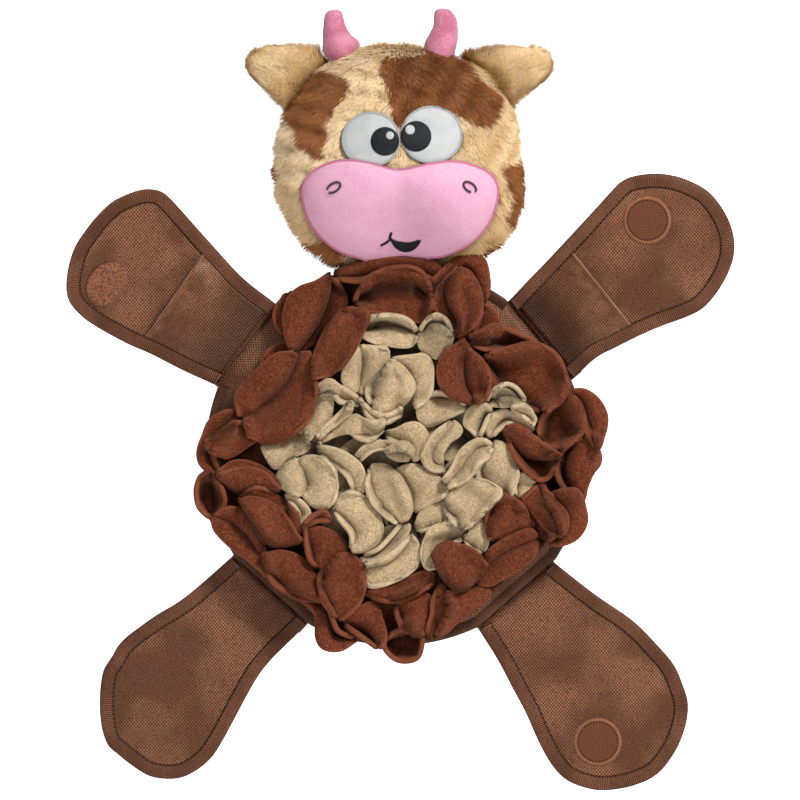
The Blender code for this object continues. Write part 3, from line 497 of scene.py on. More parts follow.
def fleece_material(name, dark, mid, light, tint, painted_fold_shade):
    """Short fleece pile, mottled at about a millimetre. The flat values are distances from rim and fold."""
    paint = Paint(name, 1.0, sheen=0.22, specular=0.03, sheen_tint=tint)
    rim, fold, _ = paint.flat()
    where = paint.places()
    pile = paint.noise(where, PILE_SIZE, 3.0, 0.65)
    clumps = paint.noise(where, CLUMP_SIZE)
    patches = paint.noise(where, FLEECE_PATCH_SIZE)
    amount = paint.math("ADD", paint.times(pile, PILE_SHARE), paint.times(clumps, CLUMP_SHARE))
    low = paint.blend(paint.between(amount, 0.30, 0.56), dark, mid)
    colour = paint.blend(paint.between(amount, 0.45, 0.76), low, light)
    # Painted highlight: the fleece is lighter along its rim, where its cut edge catches the light
    colour = paint.blend(paint.times(paint.between(rim, *RIM_HIGHLIGHT_RANGE), RIM_HIGHLIGHT_STRENGTH), colour, light)
    shade = paint.blend(paint.between(patches, 0.3, 0.7), *PATCH_SHADES)
    # Painted shade: the fleece is darker towards the fold, in the crease between its lobes
    colour = paint.darken(paint.multiply(colour, shade), paint.between(fold, 0.0, FOLD_SHADE_REACH), painted_fold_shade)
    return paint.finish(colour, amount, FLEECE_DEPTH)


def fur_material(name):
    """Plush fur: each strand's colour, with the painted light and shade that it carries, a little uneven."""
    paint = Paint(name, 0.8, specular=0.12, gloss_tint=(1.0, 0.85, 0.65))
    found = paint.add("ShaderNodeAttribute", {}, attribute_name="tint").node.outputs["Color"]
    fine = paint.noise(paint.places(), 0.0012)
    grey = paint.blend(paint.between(fine, 0.2, 0.7), (0.0, 0.0, 0.0), WHITE)
    return paint.finish(paint.multiply(found, grey, 0.18), fine, 0.0002)


def velvet_material(name, dark, light, sheen=0.4, pile=0.0006, rough=0.75, depth=0.0002, patchy=0.55):
    """Short pile cloth or felt: two close colours in fine and broad patches."""
    paint = Paint(name, rough, sheen=sheen, specular=0.25)
    where = paint.places()
    fine = paint.noise(where, pile, 3.0, 0.6)
    broad = paint.noise(where, 0.011)
    amount = paint.math("ADD", paint.times(fine, 1 - patchy), paint.times(broad, patchy))
    return paint.finish(paint.blend(paint.between(amount, 0.38, 0.62), dark, light), fine, depth)


def thread_material(name, dark, light):
    """Satin stitching: threads side by side across a line."""
    paint = Paint(name, 0.5, sheen=0.1, specular=0.4)
    ridge = paint.between(paint.ripple(paint.flat()[0], 0.0007), -0.8, 0.9)
    return paint.finish(paint.blend(ridge, dark, light), ridge, 0.0002)


# A patch's loops, its rows of hooks both ways, its woven border by the distance from the edge, and
# the stitches round it: their place, half width, number and share of the dark colour
LOOP_SIZE, LOOP_DEPTH = 0.0013, 0.0011
HOOK_PITCHES, HOOK_FINE, HOOK_DEPTH = (0.0013, 0.0011), 0.0011, 0.0004
BORDER_RANGE = (0.0020, 0.0014)
ROUND_STITCH_PLACE, ROUND_STITCH_RANGE = 0.0022, (0.0007, 0.0002)
ROUND_STITCHES, ROUND_STITCH_SHADE = 44, 0.30


def patch_material(name, dark, light, loops):
    """A hook or loop coin: fuzzy loops or fine rows of hooks, with a lighter woven border."""
    paint = Paint(name, 0.9, sheen=0.1, specular=0.15)
    x, y, edge = paint.flat()
    where = paint.places()
    if loops:
        height = paint.noise(where, LOOP_SIZE, 4.0, 0.7)
        return paint.finish(paint.blend(paint.between(height, 0.36, 0.62), dark, light), height, LOOP_DEPTH)
    crossed = paint.times(paint.ripple(x, HOOK_PITCHES[0]), paint.ripple(y, HOOK_PITCHES[1]))
    fine = paint.between(paint.noise(where, HOOK_FINE), 0.2, 0.7)
    amount = paint.times(paint.between(crossed, -0.4, 0.8), fine)
    colour = paint.blend(amount, dark, light)
    colour = paint.blend(paint.between(edge, *BORDER_RANGE), colour, light)
    off = paint.math("ABSOLUTE", paint.math("SUBTRACT", edge, ROUND_STITCH_PLACE))
    turns = paint.times(paint.math("ARCTAN2", y, x), ROUND_STITCHES)
    stitches = paint.between(paint.math("SINE", turns), -0.5, 0.3)
    line = paint.times(paint.between(off, *ROUND_STITCH_RANGE), stitches)
    colour = paint.blend(line, colour, tuple(ROUND_STITCH_SHADE * v for v in dark))
    return paint.finish(colour, amount, HOOK_DEPTH)


BROWN = fleece_material(
    "brown_fleece", (0.070, 0.0165, 0.0074), (0.152, 0.0390, 0.0172), (0.292, 0.090, 0.043),
    tint=(0.85, 0.42, 0.28), painted_fold_shade=0.24,
)
TAN = fleece_material(
    "tan_fleece", (0.34, 0.235, 0.124), (0.56, 0.412, 0.236), (0.76, 0.605, 0.39),
    tint=(1.0, 0.92, 0.8), painted_fold_shade=0.17,
)
OXFORD = oxford_material("oxford_legs", rooted=True)
OXFORD_POCKET = oxford_material("oxford_pockets", mouthed=True)
OXFORD_MAT = oxford_material("oxford_mat", 48.0)
TAPE = tape_material("binding_tape")
# Painted shade: the mat's tape is darkened to 0.7, where the pile of petals shades it
TAPE_MAT = tape_material("binding_tape_mat", 0.7, stitch=False)
FUR = fur_material("plush_fur")
GOLD_BASE = velvet_material(
    "plush_backing", (0.36, 0.21, 0.085), (0.55, 0.36, 0.17), pile=0.0011, rough=0.95
)
PINK = velvet_material("muzzle_velvet", (0.68, 0.31, 0.45), (0.79, 0.43, 0.565), sheen=0.3, patchy=0.2)
HORN_PINK = velvet_material(
    "horn_velvet", (0.44, 0.115, 0.185), (0.60, 0.225, 0.315), pile=0.0009, depth=0.0004
)
FELT = velvet_material("white_felt", (0.42, 0.43, 0.425), (0.50, 0.51, 0.50), sheen=0.05)
BLACK = velvet_material("black_thread", (0.003, 0.004, 0.005), (0.012, 0.014, 0.016), sheen=0.0, rough=0.65)
GREY_THREAD = thread_material("grey_thread", (0.26, 0.27, 0.28), (0.46, 0.47, 0.48))
PINK_THREAD = thread_material("pink_thread", (0.46, 0.10, 0.19), (0.66, 0.24, 0.36))
BLACK_THREAD = thread_material("nostril_thread", (0.012, 0.010, 0.014), (0.05, 0.035, 0.05))
HOOK = patch_material("hook_patch", (0.105, 0.034, 0.015), (0.27, 0.105, 0.050), loops=False)
LOOP = patch_material("loop_patch", (0.115, 0.038, 0.018), (0.31, 0.120, 0.060), loops=True)


# Mat

MAT_STEP = 1.5
MAT_EDGE = 0.0009
SEAM_FACING = 0.5
# The mat's section, from its middle over its rim and back below: the way in from its edge, the height
MAT_PROFILE = (
    (0.1015, MAT_THICK + 0.0012), (0.07, MAT_THICK + 0.0011), (0.035, MAT_THICK + 0.0006),
    (0.018, MAT_THICK), (0.010, MAT_THICK - 0.0010), (0.005, RIM_THICK - 0.0004),
    (MAT_EDGE, RIM_THICK - 0.0009), (MAT_EDGE, 0.0009), (0.005, 0.0007), (0.012, 0.0002),
    (0.018, 0.0), (0.06, 0.0), (0.1015, 0.0),
)
PUFF, PUFF_LENGTH, PUFF_ABOVE = 0.0005, 0.020, 0.004
# The mat's tape: degrees between its stations, half its thickness, and how far it runs on at the neck
BINDING_STEP = 0.8
MAT_TAPE_HALF = RIM_THICK / 2 + 0.0002
NECK_TAPE_MORE = 1.2


def mat_reach(azimuths):
    """Distance of the mat's edge, which runs straight along each hinge seam."""
    reach = np.full(len(azimuths), MAT_RADIUS)
    for seam in (*LEG_AZIMUTHS.values(), NECK_AZIMUTH):
        facing = np.cos(np.radians(azimuths - seam))
        straight = np.minimum(reach, SEAM_REACH / np.maximum(facing, SEAM_FACING))
        reach = np.where(facing > SEAM_FACING, straight, reach)
    return reach


def mat_ring(azimuths, inset, height):
    """Points round the mat, drawn in from its edge, at a height."""
    reach = mat_reach(azimuths) - inset
    angles = np.radians(azimuths)
    return np.stack([np.cos(angles) * reach, np.sin(angles) * reach, np.full(len(angles), height)], axis=1)


def build_mat():
    """The padded mat and the tape round its edge."""
    azimuths = np.arange(0, 360, MAT_STEP)
    rings = []
    for inset, height in MAT_PROFILE:
        ring = mat_ring(azimuths, inset, height)
        if height > PUFF_ABOVE:
            ring[:, 2] += waves(ring, PUFF_LENGTH, 3) * PUFF
        rings.append(ring)
    grid = np.array(rings)
    mat = ring_object("mat", grid, OXFORD_MAT, flip=True, flat=grid)
    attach(mat, "mat")
    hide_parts("mat_back_panel", "mat_padding", "mat_top_panel")

    half = math.degrees(math.asin(SEAM_HALF / MAT_RADIUS))
    right, left = LEG_AZIMUTHS["front_right"], LEG_AZIMUTHS["front_left"]
    spans = {
        "mat_binding_rear": (left + half, right + 360 - half),
        "mat_binding_neck": (right + half - NECK_TAPE_MORE, left - half + NECK_TAPE_MORE),
    }
    for name, (start, stop) in spans.items():
        steps = int((stop - start) / BINDING_STEP)
        azimuths = start + (stop - start) * np.arange(steps + 1) / steps
        tape = band(
            name, lambda inset: mat_ring(azimuths, inset, 0.0), lambda xy: np.full(len(xy), RIM_THICK / 2),
            MAT_TAPE_HALF, TAPE_MAT,
        )
        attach(tape, "mat")
    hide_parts("mat_binding")


# Outline inwards and height above the middle, as shares of the tape's width and of its half height
BAND_SHARES = (
    (1.0, 0.62), (0.8, 0.80), (0.55, 0.95), (0.3, 1.0), (0.12, 0.94), (0.03, 0.66), (0.0, 0.0),
    (0.03, -0.66), (0.12, -0.94), (0.3, -1.0), (0.6, -0.92), (1.0, -0.8),
)
BAND_INNER = 0.0006


def band(name, outline_at, middle_of, half, material):
    """A tape folded round an outline: outline_at(inset) gives points, middle_of(points) the height."""
    offsets = [(inset * TAPE_WIDTH, height * half) for inset, height in BAND_SHARES]
    edge = outline_at(0.0)
    along = run_along(edge[:, :2])
    rings, flats = [], []
    for inset, height in offsets:
        points = outline_at(inset)
        points[:, 2] = middle_of(points) + height
        rings.append(points)
        flats.append(np.stack([along, np.full(len(along), inset), 0 * along], axis=1))
    for inset, height in offsets[::-1]:
        points = outline_at(max(inset, BAND_INNER))
        points[:, 2] = middle_of(points) + math.copysign(max(abs(height) - BAND_INNER, 0), height)
        rings.append(points)
        flats.append(np.stack([along, np.full(len(along), 2 * TAPE_WIDTH), 0 * along], axis=1))
    return tube(name, np.stack(rings, axis=1), material, np.stack(flats, axis=1))


# Legs

LEG_SEED, LEG_SEED_STEP = 60, 10
LEG_ROOT = -0.001
# Where a leg's waves start beyond its seam and over what length they grow, then each wave's length
# and height
CALM_START, CALM_REACH = 0.004, 0.03
BROAD_WAVE = (0.026, 0.0034)
FINE_WAVE = (0.013, 0.0009)


class Leg:
    """One leg's surface in its own frame: X outwards from the hinge, Y anticlockwise, Z up."""

    def __init__(self, name, seed):
        self.name = name
        self.seed = seed
        self.out = turn(LEG_AZIMUTHS[name])
        self.left = turn(LEG_AZIMUTHS[name] + 90)
        self.root = self.out * HINGE_REACH + np.array([0, 0, HINGE_Z])
        self.bends = TIP_BEND_SHARES if name == BENT_LEG else ()
        shift = LEG_SEAM_SHIFT * LEG_WIDE_SIDES[name]
        traced = [place for place in map(self.place, LEG_OUTLINES[name]) if place[0] > LEG_OUTLINE_START]
        outline = [(0.0, shift + LEG_SEAM_HALF), *traced, (0.0, shift - LEG_SEAM_HALF)]
        self.outline = smooth_line(outline, np.linspace(0, 1, LEG_STATIONS))
        self.length = float(self.outline[:, 0].max())
        way = unit(np.gradient(self.outline, axis=0))
        self.inwards = np.stack([way[:, 1], -way[:, 0]], axis=1)

    def place(self, pixel):
        """A pixel of the photograph in the leg's frame."""
        away = np.append(spot(*pixel), 0) - self.root
        return float(away @ self.out), float(away @ self.left)

    def widths(self, x):
        """Middle and half width at a distance from the hinge that is short of the tip."""
        tip = int(self.outline[:, 0].argmax())
        sides = (self.outline[: tip + 1], self.outline[: tip - 1 : -1])
        left, right = (np.interp(x, np.maximum.accumulate(side[:, 0]), side[:, 1]) for side in sides)
        return (left + right) / 2, (left - right) / 2

    def edge(self, inset, start=LEG_ROOT):
        """The outline drawn in by inset, from the root round the tip and back, in the leg's frame."""
        line = self.outline + self.inwards * inset
        line[:, 0] = np.maximum(line[:, 0], start)
        line[[0, -1], 0] = start
        return line

    def lift(self, x, y):
        """Height of the cloth's middle layer: soft waves, and the bent leg's raised tip."""
        x, y = np.asarray(x, float), np.asarray(y, float)
        calm = ease((x - CALM_START) / CALM_REACH)
        place = np.stack([x, y], axis=-1)
        broad = waves(place, BROAD_WAVE[0], self.seed) * 0.5 + 0.5
        fine = waves(place, FINE_WAVE[0], self.seed + 1) * 0.5 + 0.5
        height = calm * (BROAD_WAVE[1] * broad + FINE_WAVE[1] * fine)
        before = 0.0
        for share, angle in self.bends:
            slope = math.tan(math.radians(angle))
            height = height + (slope - before) * np.maximum(x - share * BENT_LENGTH, 0)
            before = slope
        return height

    def world(self, xy, above=0.0):
        """Points of the leg's frame at a height above its middle layer, in the toy's frame."""
        xy = np.asarray(xy, float)
        height = self.lift(xy[..., 0], xy[..., 1]) + above
        return self.root + xy[..., :1] * self.out + xy[..., 1:2] * self.left + height[..., None] * [0, 0, 1]


def fit_to_leg(piece, leg, cross=False):
    """Moves a piece with its leg. Cloth that crosses the seam stays put, with its place baked into its
    points.
    """
    if cross:
        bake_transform(piece)
    else:
        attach(piece, f"{leg.name}_leg")


PANEL_INSET = 0.0035
PANEL_COLUMNS = 41
PANEL_HALF = 0.0008
TAPE_START = 0.0002
LEG_TAPE_HALF = 0.0016


def cloth_flat(place, third):
    """Flat values for a leg's cloth: its place from above, and a third distance."""
    return np.concatenate([place[..., :2], np.asarray(third)[..., None]], axis=-1)


def build_leg(leg):
    """A leg: one cloth panel and the tape folded round its edge."""
    name = leg.name
    edge = leg.edge(PANEL_INSET)
    rows = len(edge) // 2
    share = np.linspace(0, 1, PANEL_COLUMNS)[None, :, None]
    grid = edge[::-1][:rows, None] * (1 - share) + edge[:rows, None] * share
    place = leg.world(grid)
    panel = shell(f"{name}_panel", place, PANEL_HALF, OXFORD, flat=cloth_flat(place, grid[..., 0]))
    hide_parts(f"{name}_leg_panel")
    fit_to_leg(panel, leg)
    x, y = leg.edge(0.0).T

    def outline_at(inset):
        return leg.world(leg.edge(inset, TAPE_START))

    tape = band(f"{name}_tape", outline_at, lambda points: points[:, 2], LEG_TAPE_HALF, TAPE)
    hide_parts(f"{name}_leg_binding")
    fit_to_leg(tape, leg)


SEAM_STRIP = 0.0055
SEAM_ROWS, SEAM_COLUMNS = 13, 29
SEAM_STRIP_HEIGHT, SEAM_STRIP_HALF = 0.00035, 0.00018


def build_seam(leg):
    """The strip of cloth under a seam that joins a leg to the mat."""
    xs = np.linspace(-SEAM_STRIP, SEAM_STRIP, SEAM_ROWS)
    middle, half = leg.widths(0.0)
    ys = middle + np.linspace(-1, 1, SEAM_COLUMNS) * half
    grid = np.array([[(x, y) for y in ys] for x in xs])
    place = leg.root + grid[..., :1] * leg.out + grid[..., 1:] * leg.left
    place[..., 2] = SEAM_STRIP_HEIGHT
    piece = shell(f"{leg.name}_seam_strip", place, SEAM_STRIP_HALF, OXFORD_MAT, flat=place)
    fit_to_leg(piece, leg, cross=True)


# Pockets: where the mouth's two ends meet the tape, in the photograph's pixels
POCKET_MOUTHS = {
    "front_left": ((144.2, 337.7), (200.8, 256.5)),
    "front_right": ((574.5, 253.7), (630.0, 323.3)),
}
POCKET_ROWS, POCKET_COLUMNS = 40, 41
POCKET_START = 0.0012
POCKET_UNDER_TAPE = 0.0004
# The pocket's height above the leg, and how much more its mouth stands open
POCKET_LIFT, POCKET_CREST = 0.0011, 0.0030
POCKET_HALF, HEM_HALF, HEM_ROWS = 0.00045, 0.0009, 3
CREASE_LENGTH, CREASE_HEIGHT = 0.007, 0.0005
# How the rows close up towards the mouth, the shares of its length and half width over which it stands
# open, and where its creases start and over what shares they fade in
POCKET_SPACING = 0.8
OPEN_ALONG, OPEN_ACROSS = 0.9, 0.5
CREASED_FROM, CREASED_ALONG, CREASED_ACROSS = 0.7, 0.2, 0.2


def build_pocket(leg):
    """A pocket on a front leg: a second layer, closed at the hinge end, its mouth turned under."""
    x_left, x_right = (leg.place(pixel)[0] for pixel in POCKET_MOUTHS[leg.name])
    along, over = np.linspace(0, 1, POCKET_ROWS) ** POCKET_SPACING, np.linspace(-1, 1, POCKET_COLUMNS)
    share, across = np.meshgrid(along, over, indexing="ij")
    mouth = (x_left + x_right) / 2 + (x_left - x_right) / 2 * across
    x = POCKET_START + (mouth - POCKET_START) * share
    middle, half = leg.widths(x)
    grid = np.stack([x, middle + (half - TAPE_WIDTH + POCKET_UNDER_TAPE) * across], axis=-1)
    inwards = 1 - np.abs(across)
    bow = ease(share / OPEN_ALONG) * ease(inwards / OPEN_ACROSS)
    creased = ease((share - CREASED_FROM) / CREASED_ALONG)
    crease = waves(grid, CREASE_LENGTH, leg.seed + 5) * CREASE_HEIGHT * creased
    crease = crease * ease(inwards / CREASED_ACROSS)
    place = leg.world(grid, POCKET_LIFT + POCKET_CREST * bow + crease)
    half = np.full(share.shape, POCKET_HALF)
    half[-HEM_ROWS:] = HEM_HALF
    flat = cloth_flat(place, mouth - x)
    piece = shell(f"{leg.name}_pocket_cloth", place, half, OXFORD_POCKET, flat=flat)
    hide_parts(f"{leg.name}_pocket")
    fit_to_leg(piece, leg)


# Coins: leg, middle in the photograph's pixels, face
COINS = {
    "front_right_hook_coin": ("front_right", (647.5, 220), 1),
    "front_left_loop_coin": ("front_left", (106.7, 284), 1),
    "rear_right_hook_coin": ("rear_right", (598, 742), 1),
    "rear_left_loop_coin": ("rear_left", (156, 710.6), -1),
}
COIN_RADIUS = 0.0129
COIN_SIDES = 48
COIN_PROFILE = (
    (0.02, 1.0), (0.3, 1.02), (0.6, 1.0), (0.8, 1.0), (0.9, 0.94), (0.97, 0.7), (1.0, 0.3), (1.0, 0.0),
    (0.5, 0.0),
)
LOOP_THICK, HOOK_THICK, UNDER_THICK = 0.0019, 0.0011, 0.0005
# How far a coin's outline strays from round, and how many times on its way round
LOOP_UNEVEN, HOOK_UNEVEN, COIN_STRAYS = 0.02, 0.004, 3
BENT_SQUEEZE = 0.76


def build_coin(name, leg, pixel, face):
    """A hook or loop patch, which from above looks narrower on the leg whose tip is raised."""
    loops = "loop" in name
    middle = np.array(leg.place(pixel))
    thick = UNDER_THICK if face < 0 else LOOP_THICK if loops else HOOK_THICK
    uneven = LOOP_UNEVEN if loops else HOOK_UNEVEN
    squeeze = BENT_SQUEEZE if leg.name == BENT_LEG else 1.0
    angles = np.linspace(0, math.tau, COIN_SIDES, endpoint=False)
    rings, flats = [], []
    for share, height in COIN_PROFILE:
        radius = COIN_RADIUS * share * (1 + uneven * np.sin(COIN_STRAYS * angles + 1) * share)
        offset = np.stack([radius * np.cos(angles), radius * np.sin(angles)], axis=1)
        rings.append(leg.world(middle + offset * [squeeze, 1], face * (PANEL_HALF + thick * height)))
        flats.append(np.concatenate([offset, COIN_RADIUS - radius[:, None]], axis=1))
    material = LOOP if loops else HOOK
    piece = ring_object(f"{name}_cloth", np.array(rings), material, flip=face > 0, flat=np.array(flats))
    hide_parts(name)
    fit_to_leg(piece, leg)


# Fleece discs

